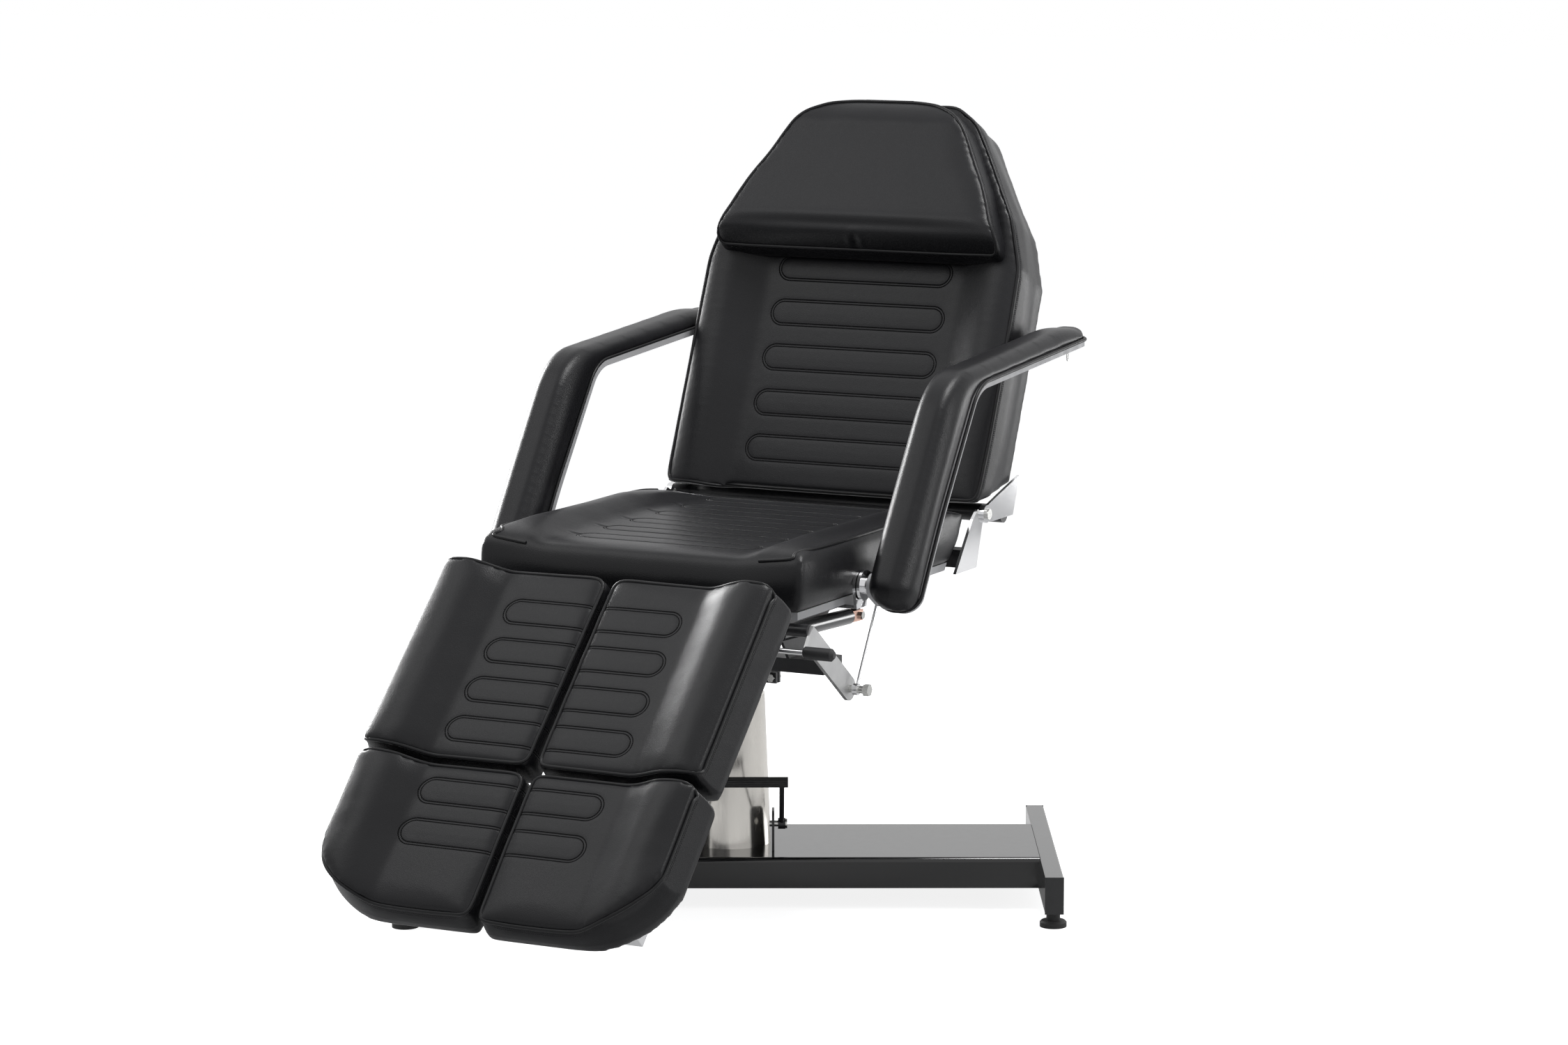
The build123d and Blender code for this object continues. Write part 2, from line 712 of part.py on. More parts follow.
# Seat frame
def make_seat_frame():
    """Welded tube frame, its cheeks, hinge lugs, outriggers, strut hangers and lever brackets."""
    hollow = rail_size - 2 * rail_wall
    rail_middle_z = rail_low_z + rail_size / 2
    rail_run = rear_tube_y + rail_size / 2 - rail_front_y
    cross_half = rail_x - rail_size / 2
    eye_radius = hinge_tube_radius + lug_thickness
    hinge_bore = tube_along_x(-front_rail_half, front_rail_half, leg_hinge_y, leg_hinge_z,
                              hinge_tube_radius + run_clearance)
    outrigger = tube_along_x(-side_plate_x, side_plate_x, outrigger_y, outrigger_z, outrigger_radius)
    strut_pins = [tube_along_x(side * strut_x - cut_overrun, side * strut_x + cut_overrun,
                               strut_rear_y, strut_z, bolt_radius) for side in sides.values()]
    lever_pins = [rod_between((side * lever_pivot_x, lever_y - cut_overrun, lever_z),
                              (side * lever_pivot_x, lever_y + cut_overrun, lever_z),
                              lever_pin_radius) for side in sides.values()]
    cheek_inner = lever_bracket_gap / 2
    cheek_outer = cheek_inner + lever_bracket_plate
    shelf_z = rail_low_z - lever_bracket_drop
    with BuildPart() as frame:
        for side in sides.values():
            with BuildSketch(Plane.XZ.offset(-rail_front_y)):
                with Locations((side * rail_x, rail_middle_z)):
                    Rectangle(rail_size, rail_size)
                    Rectangle(hollow, hollow, mode=Mode.SUBTRACT)
            extrude(amount=-rail_run)
        for cross_y in (cross_front_y, cross_rear_y):
            with BuildSketch(side_plane(-cross_half)):
                with Locations((cross_y, rail_middle_z)):
                    Rectangle(rail_size, rail_size)
                    Rectangle(hollow, hollow, mode=Mode.SUBTRACT)
            extrude(amount=2 * cross_half)
        with BuildSketch(side_plane(-front_rail_half)):
            with Locations((rail_front_y + rail_size / 2, rail_middle_z)):
                Rectangle(rail_size, rail_size)
        extrude(amount=2 * front_rail_half)
        with BuildSketch(side_plane(-side_plate_x)):
            with Locations((rear_tube_y, rail_top_z + rail_size / 2)):
                Rectangle(rail_size, rail_size)
                Rectangle(hollow, hollow, mode=Mode.SUBTRACT)
        extrude(amount=2 * side_plate_x)
        for low_x in (-cheek_x - cheek_thickness, cheek_x):
            with BuildSketch(side_plane(low_x)):
                Polygon(
                    (-carrier_half_y, carrier_top_z),
                    (carrier_half_y, carrier_top_z),
                    (cross_rear_y + rail_size / 2, rail_low_z),
                    (cross_front_y - rail_size / 2, rail_low_z),
                    align=None,
                )
            extrude(amount=cheek_thickness)
        add(outrigger)
        for low_x in (-front_rail_half, -lug_thickness / 2, front_rail_half - lug_thickness):
            with BuildSketch(side_plane(low_x)):
                Polygon(
                    (rail_front_y, rail_low_z),
                    (rail_front_y, rail_top_z - rail_wall),
                    (leg_hinge_y, leg_hinge_z + eye_radius),
                    (leg_hinge_y, leg_hinge_z - eye_radius),
                    align=None,
                )
                with Locations((leg_hinge_y, leg_hinge_z)):
                    Circle(eye_radius)
            extrude(amount=lug_thickness)
        add(hinge_bore, mode=Mode.SUBTRACT)
        for side in sides.values():
            with BuildSketch(Plane.XY.offset(rail_low_z)):
                with Locations((side * strut_x, strut_rear_y)):
                    Rectangle(hanger_x_width, hanger_y_width)
            extrude(amount=strut_z - hanger_y_width / 2 - rail_low_z)
            with BuildSketch(Plane.XZ.offset(-lever_bracket_rear_y)):
                with Locations((side * lever_pivot_x, rail_low_z - lever_bracket_drop / 2)):
                    Rectangle(2 * lever_bracket_half, lever_bracket_drop)
            extrude(amount=lever_bracket_rear_y - rail_front_y)
            with BuildSketch(Plane.XZ.offset(-rail_front_y)):
                with Locations((side * lever_pivot_x, shelf_z + lever_bracket_plate / 2)):
                    Rectangle(2 * lever_bracket_half, lever_bracket_plate)
            extrude(amount=rail_front_y - lever_y + cheek_outer)
            for low_y in (lever_y + cheek_inner, lever_y - cheek_outer):
                with BuildSketch(Plane.XZ.offset(-low_y - lever_bracket_plate)):
                    with Locations((side * lever_pivot_x, shelf_z)):
                        Rectangle(2 * lever_bracket_half, shelf_z - lever_z,
                                  align=(Align.CENTER, Align.MAX))
                    with Locations((side * lever_pivot_x, lever_z)):
                        Circle(lever_bracket_half)
                extrude(amount=lever_bracket_plate)
        add(strut_pins, mode=Mode.SUBTRACT)
        add(lever_pins, mode=Mode.SUBTRACT)
    save(frame.part, "seat_frame")

    save(tube_along_x(-front_rail_half, front_rail_half, leg_hinge_y, leg_hinge_z,
                      hinge_tube_radius, hinge_tube_radius - rail_wall), "leg_hinge_tube")


# Plates at the sides of the seat
def make_side_plates():
    """Hinge ears, arm brackets with their studs, bar arms and the stay pins."""
    outer_x = side_plate_x + side_plate_thickness
    ear = side_shape(ear_points, side_plate_x, outer_x)
    lobe = tube_along_x(side_plate_x, outer_x, back_hinge_y, back_hinge_z, hinge_lobe_radius)
    hole = tube_along_x(side_plate_x, outer_x, back_hinge_y, back_hinge_z, hinge_bolt_radius)
    save_both(ear + lobe - hole, "hinge_ears")

    strip = Pos((front_rail_half + outer_x) / 2, arm_pivot_y, rail_top_z - arm_strip_thickness / 2) * Box(
        outer_x - front_rail_half, arm_strip_width, arm_strip_thickness)
    plate = side_shape(
        (
            (arm_pivot_y - arm_strip_width / 2, rail_top_z - arm_strip_thickness),
            (arm_pivot_y + arm_strip_width / 2, rail_top_z - arm_strip_thickness),
            (arm_pivot_y + arm_disc_radius, arm_pivot_z),
            (arm_pivot_y - arm_disc_radius, arm_pivot_z),
        ), side_plate_x, outer_x)
    disc = tube_along_x(side_plate_x, outer_x, arm_pivot_y, arm_pivot_z, arm_disc_radius)
    stud = tube_along_x(side_plate_x, arm_stud_end_x, arm_pivot_y, arm_pivot_z, stay_pin_radius)
    save_both(strip + plate + disc + stud, "arm_brackets")

    run = Vector(0, stay_foot_y - bar_top_y, stay_foot_z - bar_top_z)
    with BuildPart() as bar:
        with BuildSketch(Plane(origin=(side_plate_x, bar_top_y, bar_top_z), x_dir=run,
                               z_dir=(1, 0, 0))):
            with Locations((run.length / 2, 0)):
                Rectangle(run.length, bar_width)
            with Locations((run.length, 0)):
                Circle(bar_width / 2)
                Circle(stay_pin_radius, mode=Mode.SUBTRACT)
        extrude(amount=bar_thickness)
    save_both(bar.part, "bar_arms")

    pin = tube_along_x(stay_pin_low_x, stay_pin_high_x, stay_foot_y, stay_foot_z, stay_pin_radius)
    with BuildPart() as nut:
        with BuildSketch(side_plane(stay_pin_high_x - stay_nut_width)):
            with Locations((stay_foot_y, stay_foot_z)):
                RegularPolygon(stay_pin_nut_radius, 6)
        extrude(amount=stay_nut_width)
    collar = tube_along_x(stay_pin_low_x, side_plate_x, stay_foot_y, stay_foot_z,
                          stay_pin_nut_radius - stay_pin_step)
    save_both(pin + nut.part + collar, "stay_pins")

    head_x = side_plate_x + side_plate_thickness + bracket_thickness + run_clearance
    shaft = tube_along_x(side_plate_x, head_x, back_hinge_y, back_hinge_z, hinge_bolt_radius)
    head = tube_along_x(head_x, head_x + bolt_head_height, back_hinge_y, back_hinge_z,
                        hinge_bolt_radius + stay_pin_step)
    save_both(shaft + head, "hinge_bolts")


# Struts between seat and legs
def crank_eye():
    """Side view place, (y, z), of the strut's front eye."""
    turn = radians(crank_turn)
    return (leg_hinge_y + crank_reach * sin(turn), leg_hinge_z - crank_reach * cos(turn))


def strut_plane(distance, x=strut_x):
    """Plane across the strut at a distance in front of its rear pin."""
    eye_y, eye_z = crank_eye()
    along = Vector(0, eye_y - strut_rear_y, eye_z - strut_z).normalized()
    start = Vector(x, strut_rear_y, strut_z) + along * distance
    return Plane(origin=start, x_dir=(1, 0, 0), z_dir=along)


def make_struts():
    """Forks, cylinders and rods that hold the leg rests."""
    eye_y, eye_z = crank_eye()
    reach = hypot(eye_y - strut_rear_y, eye_z - strut_z)
    fork_half = hanger_x_width / 2 + run_clearance + clevis_cheek
    pin = tube_along_x(strut_x - fork_half - bolt_head_height, strut_x + fork_half + bolt_head_height,
                       strut_rear_y, strut_z, bolt_radius)
    with BuildPart() as fork:
        with BuildSketch(strut_plane(-clevis_half_height)):
            Rectangle(2 * fork_half, 2 * clevis_half_height)
        extrude(amount=clevis_length)
        with BuildSketch(strut_plane(-clevis_half_height)):
            Rectangle(hanger_x_width + 2 * run_clearance, 2 * clevis_half_height)
        extrude(amount=clevis_slot_length, mode=Mode.SUBTRACT)
        add(pin, mode=Mode.SUBTRACT)
    save_both(fork.part, "strut_forks")

    with BuildPart() as bolts:
        add(pin)
        for low_x in (strut_x + fork_half, strut_x - fork_half - bolt_head_height):
            with BuildSketch(side_plane(low_x)):
                with Locations((strut_rear_y, strut_z)):
                    RegularPolygon(bolt_head_radius, 6)
            extrude(amount=bolt_head_height)
    save_both(bolts.part, "strut_bolts")

    front = clevis_length - clevis_half_height + strut_cylinder_length
    with BuildPart() as cylinder:
        with BuildSketch(strut_plane(clevis_length - clevis_half_height)):
            Circle(strut_radius)
        extrude(amount=strut_cylinder_length)
        with BuildSketch(strut_plane(front - strut_bore_length)):
            Circle(strut_rod_radius + run_clearance)
        extrude(amount=strut_bore_length, mode=Mode.SUBTRACT)
    save_both(cylinder.part, "strut_cylinders")

    eye_hole = crank_pin_radius + crank_eye_clearance
    with BuildPart() as rod:
        with BuildSketch(strut_plane(front - strut_rod_inside)):
            Circle(strut_rod_radius)
        extrude(amount=reach - front + strut_rod_inside)
        with BuildSketch(side_plane(strut_x - crank_eye_width / 2)):
            with Locations((eye_y, eye_z)):
                Circle(eye_hole + crank_eye_wall)
        extrude(amount=crank_eye_width)
        with BuildSketch(side_plane(strut_x - crank_eye_width)):
            with Locations((eye_y, eye_z)):
                Circle(eye_hole)
        extrude(amount=2 * crank_eye_width, mode=Mode.SUBTRACT)
    save_pair(rod.part, "strut_rod")


# Release levers
def make_levers():
    """Hinged rods with soft grips, and the pins they turn on."""
    hub_half = lever_bracket_gap / 2 - lever_fit
    hub = rod_between((lever_pivot_x, lever_y - hub_half, lever_z),
                      (lever_pivot_x, lever_y + hub_half, lever_z), lever_hub_radius)
    bore = rod_between((lever_pivot_x, lever_y - cut_overrun, lever_z),
                       (lever_pivot_x, lever_y + cut_overrun, lever_z),
                       lever_pin_radius + run_clearance)
    rod = rod_between((lever_pivot_x, lever_y, lever_z),
                      (lever_tip_x - grip_radius, lever_y, lever_z), lever_rod_radius)
    save_pair(hub + rod - bore, "release_lever")

    with BuildPart() as grip:
        with BuildSketch(Plane(origin=(lever_tip_x - grip_length, lever_y, lever_z),
                               x_dir=(0, 1, 0), z_dir=(1, 0, 0))):
            Circle(grip_radius)
        extrude(amount=grip_length)
        chamfer(grip.edges().group_by(Axis.X)[-1], length=grip_radius / 2)
        chamfer(grip.edges().group_by(Axis.X)[0], length=grip_flat)
        add(rod, mode=Mode.SUBTRACT)
    save_pair(grip.part, "lever_grip")

    outer = lever_bracket_gap / 2 + lever_bracket_plate
    shaft = rod_between((lever_pivot_x, lever_y - outer, lever_z),
                        (lever_pivot_x, lever_y + outer, lever_z), lever_pin_radius)
    heads = [rod_between((lever_pivot_x, lever_y + side * outer, lever_z),
                         (lever_pivot_x, lever_y + side * (outer + grip_flat), lever_z),
                         lever_pin_radius + grip_flat) for side in sides.values()]
    save_both(shaft + heads[0] + heads[1], "lever_pins")


# Seat
def make_seat():
    """Seat board and the upholstered seat with its raised sides and stitched channels."""
    board_top_z = seat_bottom_z + board_thickness
    slope = (seat_rear_top_y - seat_rear_low_y) / (seat_top_z - seat_bottom_z)
    board_rear_y = seat_rear_low_y + slope * board_thickness
    half = seat_half
    board = side_shape(
        (
            (seat_front_y + board_inset, seat_bottom_z),
            (seat_rear_low_y, seat_bottom_z),
            (board_rear_y, board_top_z),
            (seat_front_y + board_inset, board_top_z),
        ), -half + board_inset, half - board_inset)
    save(board, "seat_board")

    with BuildPart() as cushion:
        with BuildSketch(Plane.XZ.offset(-seat_front_y + cut_overrun)):
            with BuildLine():
                ThreePointArc((half - seat_edge_in, seat_edge_z), seat_bolster_shoulder,
                              (seat_bolster_x, seat_bolster_z))
                Line((seat_bolster_x, seat_bolster_z), (seat_valley_x, seat_top_z))
                Line((seat_valley_x, seat_top_z), (-seat_valley_x, seat_top_z))
                Line((-seat_valley_x, seat_top_z), (-seat_bolster_x, seat_bolster_z))
                ThreePointArc((-seat_bolster_x, seat_bolster_z),
                              (-seat_bolster_shoulder[0], seat_bolster_shoulder[1]),
                              (-half + seat_edge_in, seat_edge_z))
                ThreePointArc((-half + seat_edge_in, seat_edge_z),
                              (-half + soft_clearance, seat_middle_z),
                              (-half + seat_low_in, board_top_z))
                Line((-half + seat_low_in, board_top_z), (half - seat_low_in, board_top_z))
                ThreePointArc((half - seat_low_in, board_top_z),
                              (half - soft_clearance, seat_middle_z),
                              (half - seat_edge_in, seat_edge_z))
            make_face()
        extrude(amount=-(seat_rear_top_y - seat_front_y + 2 * cut_overrun))
        with BuildSketch(side_plane(-half)):
            with BuildLine():
                Line((board_rear_y + slope * soft_clearance, board_top_z), seat_rear_corner)
                ThreePointArc(seat_rear_corner, seat_crown, seat_crown_front)
                ThreePointArc(seat_crown_front, seat_front_shoulder, seat_front_corner)
                ThreePointArc(seat_front_corner, seat_front_bulge, (seat_front_y, board_top_z))
                Line((seat_front_y, board_top_z), (board_rear_y + slope * soft_clearance, board_top_z))
            make_face()
        extrude(amount=2 * half, mode=Mode.INTERSECT)
        add(stadium_rings(Plane.XY.offset(seat_top_z),
                          [seat_channel_first_y + seat_channel_pitch * row
                           for row in range(seat_channel_count)],
                          channel_half, channel_height), mode=Mode.SUBTRACT)
    save(cushion.part, "seat_cushion")


# Back
def make_back():
    """Back frame, brackets, board, cushion, head pillow and its strap."""
    tube_y, tube_z = back_point(back_tube_depth, back_tube_t)
    inner_x = side_plate_x + side_plate_thickness + run_clearance
    board_front = back_thickness
    board_back = back_thickness + board_thickness
    tube = tube_along_x(-inner_x, inner_x, tube_y, tube_z, back_tube_radius)
    rail = side_shape([back_point(depth, rise) for depth, rise in back_rail_points],
                      back_rail_x - back_rail_thickness / 2, back_rail_x + back_rail_thickness / 2)
    save(tube + rail + mirror(rail, about=Plane.YZ), "back_frame")

    plate = side_shape(back_bracket_points, inner_x, inner_x + bracket_thickness)
    lobe = tube_along_x(inner_x, inner_x + bracket_thickness, back_hinge_y, back_hinge_z,
                        hinge_lobe_radius)
    hole = tube_along_x(inner_x, inner_x + bracket_thickness, back_hinge_y, back_hinge_z,
                        hinge_bolt_radius + run_clearance)
    save_both(plate + lobe - hole, "back_brackets")

    outline = [(half, rise) for half, rise in back_outline]
    both_sides = outline + [(-half, rise) for half, rise in reversed(outline)]
    with BuildPart() as board:
        with BuildSketch(back_plane(board_front)):
            Polygon(*both_sides, align=None)
            offset(amount=-board_inset)
        extrude(amount=-board_thickness)
        add(back_low_cut(), mode=Mode.SUBTRACT)
    save(board.part, "back_board")

    rise_start = -cut_overrun
    section = Plane(
        origin=(0, back_face_y + back_up[1] * rise_start, back_face_z + back_up[2] * rise_start),
        x_dir=(1, 0, 0), z_dir=(0, -back_up[1], -back_up[2]))
    with BuildPart() as cushion:
        with BuildSketch(section):
            with BuildLine():
                ThreePointArc((back_half_width - back_edge_in, 0), back_bolster_shoulder,
                              (back_bolster_x, back_bolster_rise))
                Line((back_bolster_x, back_bolster_rise), (back_valley_x, -back_valley_depth))
                Line((back_valley_x, -back_valley_depth), (-back_valley_x, -back_valley_depth))
                Line((-back_valley_x, -back_valley_depth), (-back_bolster_x, back_bolster_rise))
                ThreePointArc((-back_bolster_x, back_bolster_rise),
                              (-back_bolster_shoulder[0], back_bolster_shoulder[1]),
                              (-back_half_width + back_edge_in, 0))
                ThreePointArc((-back_half_width + back_edge_in, 0),
                              (-back_half_width, -back_thickness / 2),
                              (-back_half_width + back_edge_in, -back_thickness))
                Line((-back_half_width + back_edge_in, -back_thickness),
                     (back_half_width - back_edge_in, -back_thickness))
                ThreePointArc((back_half_width - back_edge_in, -back_thickness),
                              (back_half_width, -back_thickness / 2),
                              (back_half_width - back_edge_in, 0))
            make_face()
        extrude(amount=-(back_length - 2 * rise_start))
        with BuildSketch(back_plane(-cut_overrun)):
            Polygon(*both_sides, align=None)
            fillet(vertices(Select.ALL).group_by(Axis.Y)[-1], radius=back_corner_radius)
        extrude(amount=-(back_thickness + 2 * cut_overrun), mode=Mode.INTERSECT)
        add(back_low_cut(), mode=Mode.SUBTRACT)
        add(stadium_rings(back_plane(back_valley_depth),
                          [back_channel_first_t + back_channel_pitch * row
                           for row in range(back_channel_count)],
                          channel_half, channel_height), mode=Mode.SUBTRACT)
    save(cushion.part, "back_cushion")
    make_pillow(cushion.part)


def back_low_cut():
    """Wedge that trims the lower end of the back to its slanted line."""
    points = [(-cut_overrun, 0), (0, 0), (back_thickness + board_thickness, back_low_rise),
              (back_thickness + board_thickness + cut_overrun, back_low_rise),
              (back_thickness + board_thickness + cut_overrun, -2 * cut_overrun),
              (-cut_overrun, -2 * cut_overrun)]
    return side_shape([back_point(depth, rise) for depth, rise in points],
                      -back_half_width - cut_overrun, back_half_width + cut_overrun)


def make_pillow(cushion):
    """Head pillow with its lower roll, and the strap that hangs it over the back."""
    half_span = back_half_width
    with BuildPart() as pillow:
        with BuildSketch(side_plane(-half_span)):
            with BuildLine():
                points = [back_point(depth, rise) for depth, rise in (
                    pillow_low, pillow_low_round, pillow_roll_low, pillow_roll_round,
                    pillow_roll_front, pillow_roll_top, pillow_front_top, pillow_top_round,
                    pillow_top_front, pillow_top)]
                ThreePointArc(*points[0:3])
                ThreePointArc(*points[2:5])
                Polyline(*points[4:7])
                ThreePointArc(*points[6:9])
                Polyline(points[8], points[9], points[0])
            make_face()
        extrude(amount=2 * half_span)
        with BuildSketch(back_plane(cut_overrun)):
            Polygon(*(list(pillow_outline) + [(-half, rise) for half, rise in
                                              reversed(pillow_outline)]), align=None)
        extrude(amount=2 * (pillow_roll + cut_overrun), mode=Mode.INTERSECT)
    pillow_body = pillow.part - cushion
    strap_points = [
        (-strap_front, back_length), (-strap_front, back_length + strap_thickness),
        (back_thickness + board_thickness + strap_thickness, back_length + strap_thickness),
        (back_thickness + board_thickness + strap_thickness, back_length - strap_drop),
        (back_thickness + board_thickness, back_length - strap_drop),
        (back_thickness + board_thickness, back_length),
    ]
    strap = side_shape([back_point(depth, rise) for depth, rise in strap_points],
                       -strap_half_width, strap_half_width)
    save(pillow_body - strap, "head_pillow")
    save(strap, "pillow_strap")


# Leg rests
def leg_section_sketch():
    """Cross-section of a leg pad: flat valley towards the middle, raised outer side."""
    with BuildSketch() as section:
        with BuildLine():
            Line((pad_inner_x, -calf_pad_thickness), (pad_inner_x, -leg_inner_drop))
            ThreePointArc((pad_inner_x, -leg_inner_drop),
                          (pad_inner_x + leg_inner_round / 3, -leg_valley_depth - leg_inner_round / 3),
                          (pad_inner_x + leg_inner_round, -leg_valley_depth))
            Line((pad_inner_x + leg_inner_round, -leg_valley_depth),
                 (leg_valley_x, -leg_valley_depth))
            Line((leg_valley_x, -leg_valley_depth), leg_bolster_low)
            ThreePointArc(leg_bolster_low, leg_bolster_top, (pad_outer_x - leg_edge_in, 0))
            ThreePointArc((pad_outer_x - leg_edge_in, 0), (pad_outer_x, -calf_pad_thickness / 2),
                          (pad_outer_x - leg_edge_in, -calf_pad_thickness))
            Line((pad_outer_x - leg_edge_in, -calf_pad_thickness), (pad_inner_x, -calf_pad_thickness))
        make_face()
    return section.sketch


def leg_pad(run_low, run_high, corner, channels):
    """One upholstered pad between two places along the leg, with its channels."""
    middle = (run_low + run_high) / 2
    section = leg_section(run_low) * leg_section_sketch()
    length = run_high - run_low
    width = pad_outer_x - pad_inner_x
    with BuildPart() as pad:
        add(section)
        extrude(amount=length, dir=Vector(*leg_down))
        with BuildSketch(leg_plane(-cut_overrun)):
            with Locations(((pad_inner_x + pad_outer_x) / 2, -middle)):
                Rectangle(width, length)
            outer = vertices(Select.ALL).group_by(Axis.X)[-1]
            fillet(outer.sort_by(Axis.Y)[0], radius=corner)
            fillet(outer.sort_by(Axis.Y)[-1], radius=leg_corner_radius)
        extrude(amount=-(calf_pad_thickness + 2 * cut_overrun), mode=Mode.INTERSECT)
        add(stadium_rings(leg_plane(leg_valley_depth), [-place for place in channels],
                          leg_channel_half, channel_height), mode=Mode.SUBTRACT)
    return pad.part


def leg_board(run_low, run_high, corner):
    """Board behind one leg pad."""
    with BuildPart() as board:
        with BuildSketch(leg_plane(calf_pad_thickness)):
            with Locations(((pad_inner_x + pad_outer_x) / 2, -(run_low + run_high) / 2)):
                Rectangle(pad_outer_x - pad_inner_x - 2 * leg_board_inset,
                          run_high - run_low - 2 * leg_board_inset)
            fillet(vertices(Select.ALL).group_by(Axis.X)[-1].sort_by(Axis.Y)[0], radius=corner)
        extrude(amount=-board_thickness)
    return board.part


def make_legs():
    """Leg frame, calf pad, foot slide and foot pad of each side."""
    foot_low = calf_length + foot_gap
    foot_high = foot_low + foot_length
    save_pair(leg_pad(leg_top_inset, calf_length, leg_corner_radius,
                      [calf_channel_first_s + calf_channel_pitch * row
                       for row in range(calf_channel_count)]), "calf_cushion")
    save_pair(leg_pad(foot_low, foot_high, toe_radius,
                      [foot_low + foot_channel_first_s + foot_channel_pitch * row
                       for row in range(foot_channel_count)]), "foot_cushion")
    save_pair(leg_board(leg_top_inset, calf_length, leg_corner_radius), "calf_board")
    save_pair(leg_board(foot_low, foot_high, toe_radius - leg_board_inset), "foot_board")

    rail_depth = calf_pad_thickness + board_thickness
    eye_y, eye_z = crank_eye()
    sleeve = tube_along_x(hinge_sleeve_low_x, hinge_sleeve_high_x, leg_hinge_y, leg_hinge_z,
                          hinge_tube_radius + hinge_sleeve_wall)
    bore = tube_along_x(0, hinge_sleeve_high_x + cut_overrun, leg_hinge_y, leg_hinge_z,
                        hinge_tube_radius + run_clearance)
    crank_high_x = crank_x + crank_thickness
    pin = tube_along_x(crank_x, crank_x + crank_pin_length, eye_y, eye_z, crank_pin_radius)
    collar = tube_along_x(crank_x + crank_pin_length, crank_x + crank_pin_length + crank_pin_collar,
                          eye_y, eye_z, crank_pin_radius + crank_eye_clearance + crank_eye_wall)
    with BuildPart() as crank:
        with BuildSketch(side_plane(crank_x)):
            with Locations((leg_hinge_y, leg_hinge_z)):
                Circle(hinge_tube_radius + hinge_sleeve_wall)
            with Locations((eye_y, eye_z)):
                Circle(crank_pin_radius + crank_eye_wall)
            make_hull()
        extrude(amount=crank_high_x - crank_x)
    with BuildPart() as frame:
        for middle_x in (leg_rail_inner_x, leg_rail_outer_x):
            with BuildSketch(leg_section(leg_rail_low_s)):
                with Locations((middle_x, -rail_depth - leg_rail_size / 2)):
                    Rectangle(leg_rail_size, leg_rail_size)
            extrude(amount=leg_rail_high_s - leg_rail_low_s)
        for low_s in leg_cross_places:
            with BuildSketch(leg_section(low_s)):
                with Locations(((leg_rail_inner_x + leg_rail_outer_x) / 2,
                                -rail_depth - leg_rail_size / 2)):
                    Rectangle(leg_rail_outer_x - leg_rail_inner_x, leg_rail_size)
            extrude(amount=leg_cross_width)
        for middle_x in (leg_rail_inner_x, leg_rail_outer_x):
            with BuildSketch(leg_section(leg_bore_low_s)):
                with Locations((middle_x, -rail_depth - leg_rail_size / 2)):
                    Rectangle(leg_rail_size - 2 * leg_rail_wall, leg_rail_size - 2 * leg_rail_wall)
            extrude(amount=leg_rail_high_s - leg_bore_low_s, mode=Mode.SUBTRACT)
        add(sleeve)
        add(crank.part)
        add(pin)
        add(collar)
        add(bore, mode=Mode.SUBTRACT)
    save_pair(frame.part, "leg_frame")

    bar_size = leg_rail_size - 2 * leg_rail_wall - 2 * slide_bar_clearance
    bar_low_s = leg_rail_high_s - foot_travel - slide_overlap
    with BuildPart() as slide:
        for middle_x in (leg_rail_inner_x, leg_rail_outer_x):
            with BuildSketch(leg_section(bar_low_s)):
                with Locations((middle_x, -rail_depth - leg_rail_size / 2)):
                    Rectangle(bar_size, bar_size)
            extrude(amount=foot_high - slide_end_inset - bar_low_s)
            with BuildSketch(leg_section(foot_low + leg_board_inset)):
                with Locations((middle_x, -rail_depth - leg_rail_size / 4)):
                    Rectangle(bar_size, leg_rail_size / 2)
            extrude(amount=foot_high - slide_end_inset - foot_low - leg_board_inset)
        with BuildSketch(leg_section(foot_high - slide_end_inset - leg_cross_width)):
            with Locations(((leg_rail_inner_x + leg_rail_outer_x) / 2,
                            -rail_depth - leg_rail_size / 2)):
                Rectangle(leg_rail_outer_x - leg_rail_inner_x, bar_size)
        extrude(amount=leg_cross_width)
    save_pair(slide.part, "foot_slide")


# Arm rests
def offset_line(points, distance):
    """Side view line moved to its right-hand side by a distance."""
    moved = []
    for index, (y, z) in enumerate(points):
        before = points[max(index - 1, 0)]
        after = points[min(index + 1, len(points) - 1)]
        run = hypot(after[0] - before[0], after[1] - before[1])
        moved.append((y + distance * (after[1] - before[1]) / run,
                      z - distance * (after[0] - before[0]) / run))
    return moved


